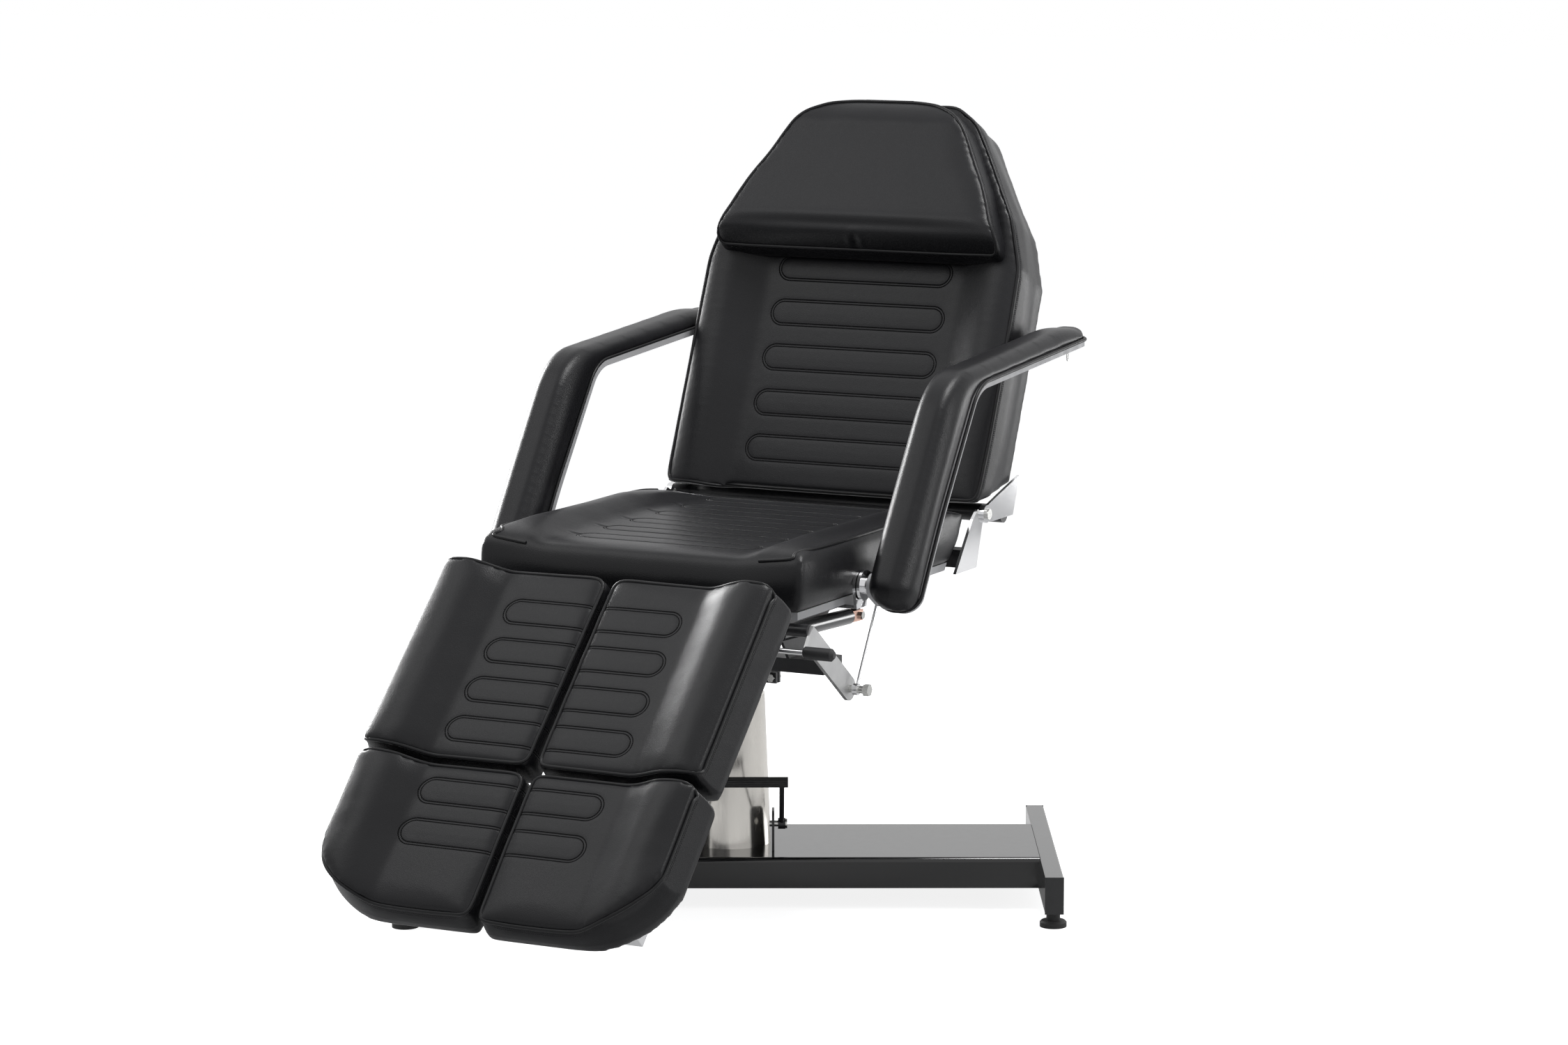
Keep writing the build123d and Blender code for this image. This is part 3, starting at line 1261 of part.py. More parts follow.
def make_arms():
    """Arm boards, pads, cranks and the stay rods that carry them."""
    arm_outer_x = arm_inner_x + arm_width
    board_line = list(arm_board_line)
    under_line = offset_line(board_line, arm_board_thickness)
    under_bends = [bend - arm_board_thickness for bend in arm_board_bends]
    core = tube_along_x(arm_inner_x, arm_inner_x + arm_core_thickness, arm_pivot_y, arm_pivot_z,
                        arm_core_radius)
    core += side_shape(arm_web_points, arm_inner_x, arm_inner_x + arm_core_thickness)
    with BuildPart() as band:
        with BuildSketch(side_plane(arm_inner_x)):
            with BuildLine():
                FilletPolyline(*board_line, radius=arm_board_bends)
                Line(board_line[-1], under_line[-1])
                FilletPolyline(*reversed(under_line), radius=under_bends[::-1])
                Line(under_line[0], board_line[0])
            make_face()
        extrude(amount=arm_width)
        ends = band.edges().filter_by(
            lambda edge: abs(edge.length - arm_board_thickness) < run_clearance)
        fillet(ends, radius=arm_end_radius)
    save_pair(band.part + core, "arm_board")

    with BuildPart() as pad:
        with BuildSketch(side_plane(arm_inner_x)):
            with BuildLine():
                FilletPolyline(*board_line, radius=arm_board_bends)
                ThreePointArc(board_line[-1], arm_nose, arm_pad_line[0])
                FilletPolyline(*arm_pad_line, radius=arm_pad_bends)
                ThreePointArc(arm_pad_line[-1], arm_toe, board_line[0])
            make_face()
        extrude(amount=arm_width)
        rims = pad.edges().filter_by(
            lambda edge: abs(abs(edge.center().X - arm_inner_x - arm_width / 2) - arm_width / 2)
            < run_clearance and edge.distance_to(band.part) > arm_edge_radius)
        fillet(rims, radius=arm_edge_radius)
        add(core, mode=Mode.SUBTRACT)
    save_pair(pad.part, "arm_pad")

    tab_y = arm_pivot_y + stay_reach
    rod_run = Vector(0, tab_y - stay_foot_y, arm_pivot_z - stay_foot_z)
    rod_angle = degrees(atan2(rod_run.Z, rod_run.Y))
    tab_angle = radians(rod_angle - tab_lean)
    tab_normal = Vector(0, cos(tab_angle), sin(tab_angle))
    crank_end_x = arm_crank_x + arm_crank_thickness
    boss = tube_along_x(crank_end_x, arm_inner_x, arm_pivot_y, arm_pivot_z, arm_boss_radius)
    stud_hole = tube_along_x(arm_crank_x, arm_stud_end_x + run_clearance, arm_pivot_y, arm_pivot_z,
                             stay_pin_radius + run_clearance)
    with BuildPart() as crank:
        with BuildSketch(side_plane(arm_crank_x)):
            with Locations((arm_pivot_y, arm_pivot_z)):
                Circle(arm_disc_radius)
            with Locations((tab_y, arm_pivot_z)):
                Circle(tab_width / 2)
            make_hull()
        extrude(amount=arm_crank_thickness)
        with BuildSketch(Plane(origin=(stay_x, tab_y, arm_pivot_z), x_dir=(1, 0, 0),
                               z_dir=tab_normal)):
            with Locations(((arm_crank_x + tab_end_x) / 2 - stay_x, 0)):
                Rectangle(tab_end_x - arm_crank_x, tab_width)
        extrude(amount=tab_thickness / 2, both=True)
        with BuildSketch(Plane(origin=(stay_x, tab_y, arm_pivot_z), x_dir=(1, 0, 0),
                               z_dir=tab_normal)):
            Rectangle(tab_slot_width, tab_slot)
        extrude(amount=tab_thickness, both=True, mode=Mode.SUBTRACT)
        add(boss)
        add(stud_hole, mode=Mode.SUBTRACT)
    save_pair(crank.part, "arm_crank")

    along = rod_run.normalized()
    foot = Vector(stay_x, stay_foot_y, stay_foot_z)
    lean = radians(tab_lean)
    half_tab = tab_thickness / 2 / cos(lean) + stay_nut_radius * tan(lean) + run_clearance
    lifted = hypot(arm_pivot_y + stay_reach * cos(radians(arm_lift)) - stay_foot_y,
                   arm_pivot_z + stay_reach * sin(radians(arm_lift)) - stay_foot_z)
    collar_top = foot + along * (rod_run.length - half_tab)
    nut_low = foot + along * (lifted + half_tab + stay_end_clearance)
    rod = rod_between(foot, nut_low + along * (stay_nut_height + stay_spare), stay_radius)
    collar = rod_between(collar_top - along * stay_nut_height, collar_top, stay_nut_radius)
    nut = rod_between(nut_low, nut_low + along * stay_nut_height, stay_nut_radius)
    eye = tube_along_x(stay_x - stay_eye_width / 2, stay_x + stay_eye_width / 2, stay_foot_y,
                       stay_foot_z, stay_eye_radius)
    eye_hole = tube_along_x(stay_x - stay_eye_width, stay_x + stay_eye_width, stay_foot_y,
                            stay_foot_z, stay_pin_radius + run_clearance)
    save_pair(rod + collar + nut + eye - eye_hole, "arm_stay")


make_base()
make_column()
make_pedal()
make_head()
make_seat_frame()
make_side_plates()
make_struts()
make_levers()
make_seat()
make_back()
make_legs()
make_arms()
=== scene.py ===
"""Looks of the treatment chair: upholstery, finishes, light and camera."""
import math
from collections import namedtuple

import bmesh
import bpy
import numpy as np
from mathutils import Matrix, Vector
from mathutils.bvhtree import BVHTree
from mathutils.geometry import convex_hull_2d


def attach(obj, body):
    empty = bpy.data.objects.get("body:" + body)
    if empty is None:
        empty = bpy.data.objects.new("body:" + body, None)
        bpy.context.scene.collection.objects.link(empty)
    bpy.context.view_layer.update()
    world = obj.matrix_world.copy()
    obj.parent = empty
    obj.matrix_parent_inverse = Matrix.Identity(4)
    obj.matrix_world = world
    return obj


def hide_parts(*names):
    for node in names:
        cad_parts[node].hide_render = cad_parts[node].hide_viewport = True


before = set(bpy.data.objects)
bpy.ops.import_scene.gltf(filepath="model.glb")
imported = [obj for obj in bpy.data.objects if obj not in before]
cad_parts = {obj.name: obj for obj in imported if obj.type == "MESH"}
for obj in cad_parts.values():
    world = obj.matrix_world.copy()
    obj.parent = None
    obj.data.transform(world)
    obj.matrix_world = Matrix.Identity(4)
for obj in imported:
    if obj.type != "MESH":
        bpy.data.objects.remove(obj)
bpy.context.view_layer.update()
scene = bpy.context.scene

# Camera at the photograph's viewing angle: angles in degrees, lens and sensor in millimetres
camera_place = (3.3618, -6.4649, 1.7152)
camera_down, camera_turn = 8.596, 26.783
camera_lens, camera_sensor, camera_reach = 104, 36, 100

# Lamps: place, point they look at, width and height, power
lamps = {
    "lamp_top": ((0.8, 0.3, 3.0), (0, 0, 0.6), (1.0, 0.8), 42),
    "lamp_front": ((-1.4, -1.3, 3.0), (0, -0.3, 0.6), (1.8, 1.4), 13),
    "lamp_left": ((-2.5, 0.9, 1.35), (0.1, 0, 0.7), (1.0, 1.3), 90),
    "lamp_right": ((2.9, 0.5, 1.5), (0, 0.2, 0.7), (0.3, 1.6), 16),
    "lamp_rear": ((1.9, 3.6, 0.6), (0.2, 0.4, 0.7), (1.4, 0.8), 20),
}

# Surroundings: fill light, how white gloss sees them, and the floor
fill_colour = (0.93, 0.96, 1, 1)
fill_strength = 0.25
white = (1, 1, 1, 1)
gloss_white = 0.85
floor_half = 30
floor_colour = (0.6, 0.6, 0.6, 1)
floor_glow = 0.86
floor_gloss_glow = 0.12

# Where the values of a noise pattern mostly lie
noise_range = (0.3, 0.7)

# Upholstered faces: a point on the face and how far it leans back, in degrees
Face = namedtuple("Face", "point lean")
seat_face = Face((0, 0, 0.612), 0)
back_face = Face((0, 0.3376, 0.614), 66.5)
leg_face = Face((0, -0.405, 0.590), 46.3)

# Sewn channels; the level is how far they lie below the face
Channels = namedtuple("Channels", "first pitch rows half_length half_height level")
seat_channels = Channels(-0.210, 0.089, 6, 0.162, 0.0215, 0)
back_channels = Channels(0.079, 0.0812, 5, 0.162, 0.0215, 0.006)
calf_channels = Channels(-0.301, 0.0733, 4, 0.151, 0.0215, 0.008)
foot_channels = Channels(-0.489, 0.074, 2, 0.151, 0.0215, 0.008)
groove_depth = 0.0025
leg_channel_start = 0.024

sides = (("right", 1), ("left", -1))
leg_parts = (("calf", "leg", calf_channels), ("foot", "foot", foot_channels))

# How far each leg's pads lean across as they run down, per metre up the face
leg_lean = {"right": 0.014, "left": 0.030}
# How far their sewn channels lean
channel_lean = {"calf_right": 0.014, "calf_left": 0.072, "foot_right": 0.026, "foot_left": 0.056}

# Seams: half the gap of a stitched pair, its drops below the piping, how proud piping stands
seam_half_gap = 0.0021
wall_drops = (0.0075, 0.0105)
seat_piping_rise = 0.010
seat_piping_low_x, seat_piping_high_y = 0.205, 0.24
piping_radius = 0.0030
piping_proud = 0.35
thread_size = {"Pitch": 0.0036, "Length": 0.0028, "Width": 0.0007}

# Filling: cloth pressure, frames, the cap beside a seam, and how full each pad is
cloth_pressure, cloth_frames = 4.0, 20
seam_cap = 0.0006

# Channel relief in the leather
valley_depth, valley_width = 0.0007, 0.0046
crown_height = 0.0005

# Half widths of the back at heights up its face, and of the seat and the leg pads
back_widths = ((-0.1, 0.290), (0.412, 0.290), (0.499, 0.262), (0.554, 0.227), (0.626, 0.186),
               (0.675, 0.159), (0.708, 0.112))
even_widths = ((-1, 0.286), (1, 0.286))

# Pillow: growth across at heights up the back, and the roll at its lower edge
pillow_growth = ((0.42, 0.968), (0.50, 1.0), (0.60, 1.025), (0.70, 1.04))
roll_high_y, roll_low_y = 0.466, 0.426
roll_drop = 0.020
strap_high_y = 0.7050

# Leg pads: across before and after fitting, where the outer wall flares, how the toes grow
leg_across = ((0.018, 0.004), (0.040, 0.034), (0.172, 0.172), (0.286, 0.289))
wall_depths = (-0.008, -0.048)
flare_across = (0.20, 0.28)
wall_flare = 0.011
toe_start_end = (-0.540, -0.606)
toe_growth = {1: 0.016, -1: 0.010}
toe_flare = 0.006
toe_corner = (0.160, -0.490)
toe_power = 2.3
foot_lean_y = -0.17

# Soft creases: start and end on the face, width, depth
# On the seat: front corners, front edge, and a pucker at each channel end
seat_folds = [(side * 0.200, -0.392, side * 0.172, -0.352, 0.006, 0.0028) for side in (-1, 1)]
seat_folds += [(side * 0.095, -0.372, side * 0.050, -0.330, 0.014, 0.0014) for side in (-1, 1)]
channel_ends = [seat_channels.first + seat_channels.pitch * row
                for row in range(seat_channels.rows)]
seat_folds += [(side * 0.164, y, side * 0.180, y + 0.002, 0.0036, 0.0014)
               for side in (-1, 1) for y in channel_ends]
# On the pillow: above its roll, and at the middle of its lower edge
pillow_folds = ((-0.26, 0.464, 0.26, 0.464, 0.008, 0.0022), (0, 0.425, 0, 0.440, 0.006, 0.003))

# Arm boards: their line seen from the side, its bends, their sides and their rounded ends
arm_line = ((-0.105, 0.511), (-0.013, 0.656), (0.124, 0.846), (0.578, 0.878))
arm_bends = (0.9, 0.075)
arm_low_x, arm_high_x = 0.312, 0.387
arm_end_radius = 0.030
# Their piping: clear of the stay on the inner side, proud of the board elsewhere
arm_piping_in = 0.0026
arm_piping_out = 0.0008
arm_piping_rise = 0.0012
# Their pads: how far past the board they round, and how the long edges roll over
arm_pad_start, arm_pad_past = 0.010, 0.005
arm_roll_width, arm_roll = 0.026, 0.34
arm_least_share = 0.12

# Wire loop under the arm board
loop_place = (0.378, 0.503, 0.855)
loop_half_y, loop_half_z = 0.0030, 0.0088
loop_radius = 0.0007
loop_points = 24

# Screws: radius and height of the head's rings, below zero for the six-sided socket, and
# their places on the boards
screw_rings = ((0.0042, -0.0004), (0.0042, 0.00099), (0.003528, 0.001892), (0.002604, 0.0022),
               (-0.001848, 0.0022), (-0.001848, 0.00044))
screw_turns = 12
back_screws = [(x, y) for x in (-0.235, 0.235) for y in (0.06, 0.22, 0.38)]
back_screws += [(-0.09, 0.62), (0.09, 0.62), (0, 0.06)]
leg_screws = {"calf": ((0.048, 0.256), (-0.06, -0.18, -0.30)),
              "foot": ((0.048, 0.240), (-0.40, -0.50))}


# Node trees
def added(tree, kind, given=None, **settings):
    """New node with its settings and the values of its inputs."""
    node = tree.nodes.new(kind)
    for name, setting in settings.items():
        setattr(node, name, setting)
    for name, amount in (given or {}).items():
        node.inputs[name].default_value = amount
    return node


def wired(tree, *wires):
    """Links, each from a node's output to a node's input."""
    for source, output, target, entry in wires:
        tree.links.new(source.outputs[output], target.inputs[entry])


# Pieces
def new_piece(name, data):
    piece = bpy.data.objects.new(name, data)
    scene.collection.objects.link(piece)
    return piece


def built(name, points, edges, faces):
    """New piece from its points, edges and faces."""
    mesh = bpy.data.meshes.new(name)
    mesh.from_pydata(points, edges, faces)
    return new_piece(name, mesh)


# Light and camera
def add_camera():
    """Camera at the photograph's viewing angle."""
    data = bpy.data.cameras.new("camera")
    data.lens = camera_lens
    data.sensor_width = camera_sensor
    data.clip_end = camera_reach
    camera = new_piece("camera", data)
    camera.location = camera_place
    camera.rotation_euler = (math.radians(90 - camera_down), 0, math.radians(camera_turn))
    scene.camera = camera


def add_lamps():
    """Soft lamps, each turned to a point and not seen by the camera."""
    for name, (place, aim, size, power) in lamps.items():
        data = bpy.data.lights.new(name, "AREA")
        data.shape = "RECTANGLE"
        data.size, data.size_y = size
        data.energy = power
        lamp = new_piece(name, data)
        lamp.location = place
        lamp.rotation_euler = (Vector(aim) - Vector(place)).to_track_quat("-Z", "Y").to_euler()
        lamp.visible_camera = False


def add_world():
    """White for the camera and nearly so for gloss; a soft fill for all other rays."""
    world = bpy.data.worlds.new("studio")
    scene.world = world
    world.use_nodes = True
    tree = world.node_tree
    tree.nodes.clear()
    fill = added(tree, "ShaderNodeBackground", {"Color": fill_colour, "Strength": fill_strength})
    seen = added(tree, "ShaderNodeBackground", {"Color": white, "Strength": 1})
    path = added(tree, "ShaderNodeLightPath")
    camera_or_gloss = added(tree, "ShaderNodeMath", {1: gloss_white}, operation="MULTIPLY_ADD")
    share = added(tree, "ShaderNodeMath", operation="MAXIMUM")
    mix = added(tree, "ShaderNodeMixShader")
    out = added(tree, "ShaderNodeOutputWorld")
    wired(tree, (path, "Is Glossy Ray", camera_or_gloss, 0),
          (path, "Is Camera Ray", camera_or_gloss, 2), (camera_or_gloss, 0, share, 0),
          (path, "Is Transmission Ray", share, 1), (share, 0, mix, 0), (fill, 0, mix, 1),
          (seen, 0, mix, 2), (mix, 0, out, "Surface"))


def add_floor():
    """Pale floor that glows for the camera and keeps the shadow."""
    corners = ((-1, -1), (1, -1), (1, 1), (-1, 1))
    floor = built("floor", [(floor_half * x, floor_half * y, 0) for x, y in corners], [],
                  [(0, 1, 2, 3)])
    material = bpy.data.materials.new("studio_floor")
    material.use_nodes = True
    tree = material.node_tree
    tree.nodes.clear()
    diffuse = added(tree, "ShaderNodeBsdfDiffuse", {"Color": floor_colour})
    path = added(tree, "ShaderNodeLightPath")
    glow = added(tree, "ShaderNodeEmission", {"Color": white})
    shown = added(tree, "ShaderNodeMath", {1: floor_glow}, operation="MULTIPLY")
    strength = added(tree, "ShaderNodeMath", {1: floor_gloss_glow}, operation="MULTIPLY_ADD")
    total = added(tree, "ShaderNodeAddShader")
    out = added(tree, "ShaderNodeOutputMaterial")
    wired(tree, (path, "Is Camera Ray", shown, 0), (path, "Is Glossy Ray", strength, 0),
          (shown, 0, strength, 2), (strength, 0, glow, "Strength"), (diffuse, 0, total, 0),
          (glow, 0, total, 1), (total, 0, out, "Surface"))
    floor.data.materials.append(material)


# Finishes
class Finish:
    """A material being made, with short ways to add its nodes."""

    def __init__(self, name):
        self.material = bpy.data.materials.new(name)
        self.material.use_nodes = True
        self.tree = self.material.node_tree
        self.shader = self.tree.nodes["Principled BSDF"]
        self.place = added(self.tree, "ShaderNodeTexCoord").outputs["Object"]

    def link(self, source, socket):
        self.tree.links.new(source, socket)

    def value(self, kind, *inputs):
        node = added(self.tree, "ShaderNodeMath", operation=kind)
        for socket, given in zip(node.inputs, inputs):
            if isinstance(given, (int, float)):
                socket.default_value = given
            else:
                self.link(given, socket)
        return node.outputs[0]

    def noise(self, scale, detail=3, roughness=0.5, place=None):
        node = added(self.tree, "ShaderNodeTexNoise",
                     {"Scale": scale, "Detail": detail, "Roughness": roughness})
        self.link(place or self.place, node.inputs["Vector"])
        return node.outputs["Fac"]

    def cells(self, scale, smoothness=0.35):
        node = added(self.tree, "ShaderNodeTexVoronoi",
                     {"Scale": scale, "Smoothness": smoothness}, feature="SMOOTH_F1")
        self.link(self.place, node.inputs["Vector"])
        return node.outputs["Distance"]

    def spread(self, source, low, high, from_low=0, from_high=1, kind="LINEAR"):
        node = added(self.tree, "ShaderNodeMapRange",
                     {"From Min": from_low, "From Max": from_high, "To Min": low,
                      "To Max": high}, interpolation_type=kind)
        self.link(source, node.inputs["Value"])
        return node.outputs["Result"]

    def colours(self, source, dark, light):
        """Mix of two colours; the dark one may be an output of another node."""
        node = added(self.tree, "ShaderNodeMix", {"B": (*light, 1)}, data_type="RGBA")
        self.link(source, node.inputs["Factor"])
        if isinstance(dark, tuple):
            node.inputs["A"].default_value = (*dark, 1)
        else:
            self.link(dark, node.inputs["A"])
        return node.outputs["Result"]

    def turned(self, place=(0, 0, 0), turn=(0, 0, 0), scale=(1, 1, 1)):
        node = added(self.tree, "ShaderNodeMapping",
                     {"Location": place, "Rotation": turn, "Scale": scale},
                     vector_type="TEXTURE")
        self.link(self.place, node.inputs["Vector"])
        return node.outputs["Vector"]

    def bump(self, height, depth, strength=1, under=None):
        node = added(self.tree, "ShaderNodeBump", {"Distance": depth, "Strength": strength})
        self.link(height, node.inputs["Height"])
        if under is not None:
            self.link(under, node.inputs["Normal"])
        return node.outputs["Normal"]

    def set(self, name, given):
        socket = self.shader.inputs[name]
        if isinstance(given, (int, float)):
            socket.default_value = given
        elif isinstance(given, tuple):
            socket.default_value = (*given, 1)
        else:
            self.link(given, socket)


def seam_lines(finish, face, channels, lean):
    """1 on the two stitched lines of each sewn channel, from the distance to its outline."""
    line_core, line_edge = 0.0003, 0.0012
    shown_from, shown_full = 0.030, 0.026
    value = finish.value
    place = finish.turned(face.point, (math.radians(face.lean), 0, 0))
    parts = added(finish.tree, "ShaderNodeSeparateXYZ")
    finish.link(place, parts.inputs[0])
    across, along, out = parts.outputs
    run = value("SUBTRACT", along, channels.first)
    row = value("ROUND", value("DIVIDE", run, channels.pitch))
    row = value("MINIMUM", value("MAXIMUM", row, 0), channels.rows - 1)
    up = value("SUBTRACT", run, value("MULTIPLY", row, channels.pitch))
    across = value("SUBTRACT", across, value("MULTIPLY", along, lean))
    side = value("SUBTRACT", value("ABSOLUTE", across),
                 channels.half_length - channels.half_height)
    side = value("MAXIMUM", side, 0)
    squares = value("ADD", value("MULTIPLY", up, up), value("MULTIPLY", side, side))
    away = value("ABSOLUTE", value("SUBTRACT", value("SQRT", squares), channels.half_height))
    line = value("ABSOLUTE", value("SUBTRACT", away, seam_half_gap))
    line = finish.spread(line, 1, 0, line_core, line_edge, "SMOOTHSTEP")
    front = finish.spread(out, 0, 1, -channels.level - shown_from, -channels.level - shown_full)
    return value("MULTIPLY", line, front)


def make_leatherette(name, face=None, channels=None, lean=0):
    """Black leatherette: fine pebble grain, soft wrinkles, and stitched seams where sewn, their
    lines darkened partly as dark thread and partly as painted shade of the seam groove.
    """
    dark, light, seam_thread_and_shade = (0.006, 0.006, 0.007), (0.014, 0.014, 0.016), (0.004, 0.004, 0.004)
    pebble_depth, wave_depth, crease_depth, seam_depth = 0.00016, 0.003, 0.0005, 0.0009
    pebble_push, wave_push, crease_push = 0.8, 0.25, 0.4
    shine, seam_shine_loss, seam_roughness = 0.26, 0.23, 0.25
    fine_share, grain_top = 0.4, 0.8
    grain_light, grain_rough, cloud_rough = (0.55, 1.2), (0.05, -0.03), (0.33, 0.41)
    finish = Finish(name)
    grain = finish.cells(scale=620)
    fine = finish.noise(scale=1500, detail=2)
    pebble = finish.value("ADD", grain, finish.value("MULTIPLY", fine, fine_share))
    wave = finish.noise(scale=11, roughness=0.55)
    crease = finish.noise(scale=46, detail=4, roughness=0.6)
    cloud = finish.noise(scale=5, detail=2)
    lit = finish.spread(grain, *grain_light, 0, grain_top)
    base = finish.colours(finish.value("MULTIPLY", cloud, lit), dark, light)
    rough = finish.value("ADD", finish.spread(cloud, *cloud_rough),
                         finish.spread(grain, *grain_rough, 0, grain_top))
    under = finish.bump(wave, wave_depth, wave_push)
    under = finish.bump(crease, crease_depth, crease_push, under)
    if channels is not None:
        seam = seam_lines(finish, face, channels, lean)
        # Painted shade: the stitched lines are darkened partly for the dark thread and partly as
        # the shade inside the seam groove
        base = finish.colours(seam, base, seam_thread_and_shade)
        rough = finish.value("ADD", rough, finish.value("MULTIPLY", seam, seam_roughness))
        under = finish.bump(finish.value("SUBTRACT", 1, seam), seam_depth, 1, under)
        shine = finish.value("SUBTRACT", shine, finish.value("MULTIPLY", seam, seam_shine_loss))
    finish.set("Base Color", base)
    finish.set("Roughness", rough)
    finish.set("Normal", finish.bump(pebble, pebble_depth, pebble_push, under))
    finish.set("Specular IOR Level", shine)
    return finish.material


def make_paint(name, colour, roughness, metallic=0.0, speckle=900, peel=0.00006, coat=0.0,
               shine=0.5):
    """Even coat of paint, plastic or rubber with slight orange peel and rubbed patches."""
    wear, lift, coat_roughness, peel_push = 0.15, 0.002, 0.06, 0.6
    smoother, rougher = 0.8 * roughness, 1.25 * roughness
    finish = Finish(name)
    patch = finish.noise(scale=14, detail=4, roughness=0.6)
    dark = tuple(c * (1 - wear) for c in colour)
    light = tuple(min(1, c * (1 + wear) + lift) for c in colour)
    finish.set("Base Color", finish.colours(patch, dark, light))
    uneven = finish.noise(scale=60, detail=4, roughness=0.6)
    finish.set("Roughness", finish.spread(uneven, smoother, rougher, *noise_range))
    finish.set("Metallic", metallic)
    finish.set("Specular IOR Level", shine)
    finish.set("Coat Weight", coat)
    finish.set("Coat Roughness", coat_roughness)
    finish.set("Normal", finish.bump(finish.noise(speckle, detail=2), peel, peel_push))
    return finish.material


def make_metal(name, colour, roughness, brushed=(1, 1, 1)):
    """Bright metal with fine directional polishing marks and faint smudges."""
    smudge_dark, scratch, depth, push = 0.93, 0.3 * roughness, 0.00002, 0.5
    smoother, rougher = 0.8 * roughness, 1.3 * roughness
    finish = Finish(name)
    marks = finish.noise(scale=900, roughness=0.6, place=finish.turned(scale=brushed))
    smudge = finish.noise(scale=9, detail=4, roughness=0.6)
    finish.set("Base Color", finish.colours(smudge, tuple(c * smudge_dark for c in colour),
                                            colour))
    finish.set("Metallic", 1)
    rough = finish.value("ADD", finish.spread(smudge, smoother, rougher, *noise_range),
                         finish.spread(marks, -scratch, scratch, *noise_range))
    finish.set("Roughness", rough)
    finish.set("Normal", finish.bump(marks, depth, push))
    return finish.material


finishes = {
    "leatherette": make_leatherette("leatherette"),
    "grey_board": make_paint("grey_board", (0.52, 0.52, 0.53), 0.55, speckle=500, peel=0.0001),
    "chrome": make_metal("chrome", (0.86, 0.86, 0.87), 0.12),
    "polished_steel": make_metal("polished_steel", (0.82, 0.79, 0.74), 0.20, brushed=(1, 1, 30)),
    "grey_steel": make_paint("grey_steel", (0.52, 0.52, 0.52), 0.38, metallic=0.7),
    "black_paint": make_paint("black_paint", (0.022, 0.022, 0.024), 0.35),
    "gloss_black": make_paint("gloss_black", (0.003, 0.003, 0.0035), 0.14, coat=0.3),
    "strut_black": make_paint("strut_black", (0.018, 0.018, 0.020), 0.20, coat=0.4),
    "copper": make_metal("copper", (0.82, 0.52, 0.42), 0.26),
    "black_plastic": make_paint("black_plastic", (0.020, 0.020, 0.021), 0.5, peel=0.00012),
    "black_rubber": make_paint("black_rubber", (0.018, 0.018, 0.018), 0.62, peel=0.0002),
    "zinc_steel": make_metal("zinc_steel", (0.66, 0.66, 0.64), 0.24),
    "brass_washer": make_metal("brass_washer", (0.70, 0.52, 0.26), 0.25),
}
seat_leather = make_leatherette("seat_leather", seat_face, seat_channels)
back_leather = make_leatherette("back_leather", back_face, back_channels)
leg_leathers = {
    part + "_" + name: make_leatherette(part + "_leather_" + name, leg_face, channels,
                                        channel_lean[part + "_" + name])
    for part, body, channels in leg_parts for name, side in sides
}
thread = make_paint("thread", (0.010, 0.010, 0.011), 0.42, speckle=4000, peel=0.0001,
                    shine=0.25)
piping_leather = make_paint("piping_leather", (0.009, 0.009, 0.010), 0.36, speckle=1500,
                            peel=0.00012, shine=0.25)


def finish_frame():
    """Each CAD node gets the full finish of its own slot."""
    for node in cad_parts.values():
        for slot in node.material_slots:
            base = slot.material.name.split(".")[0]
            if base in finishes:
                slot.material = finishes[base]


# What repeats or follows a path
def start_tree(name, sizes):
    """Node tree with named inputs, and its input and output nodes."""
    tree = bpy.data.node_groups.new(name, "GeometryNodeTree")
    tree.interface.new_socket("Path", in_out="INPUT", socket_type="NodeSocketGeometry")
    for label, kind in sizes:
        tree.interface.new_socket(label, in_out="INPUT", socket_type="NodeSocket" + kind)
    tree.interface.new_socket("Finish", in_out="INPUT", socket_type="NodeSocketMaterial")
    tree.interface.new_socket("Result", in_out="OUTPUT", socket_type="NodeSocketGeometry")
    return tree, added(tree, "NodeGroupInput"), added(tree, "NodeGroupOutput")


def end_tree(tree, given, sent, made, output):
    """Real geometry with its material, sent to the tree's output."""
    real = added(tree, "GeometryNodeRealizeInstances")
    shade = added(tree, "GeometryNodeSetShadeSmooth")
    finish = added(tree, "GeometryNodeSetMaterial")
    wired(tree, (made, output, real, "Geometry"), (real, "Geometry", shade, "Geometry"),
          (shade, "Geometry", finish, "Geometry"), (given, "Finish", finish, "Material"),
          (finish, "Geometry", sent, "Result"))
    return tree


def piping_tree():
    """Round cord along a path."""
    tree, given, sent = start_tree("piping", (("Radius", "Float"),))
    curve = added(tree, "GeometryNodeMeshToCurve")
    circle = added(tree, "GeometryNodeCurvePrimitiveCircle", {"Resolution": 10})
    tube = added(tree, "GeometryNodeCurveToMesh", {"Fill Caps": True})
    wired(tree, (given, "Path", curve, "Mesh"), (given, "Radius", circle, "Radius"),
          (curve, "Curve", tube, "Curve"), (circle, "Curve", tube, "Profile Curve"))
    return end_tree(tree, given, sent, tube, "Mesh")


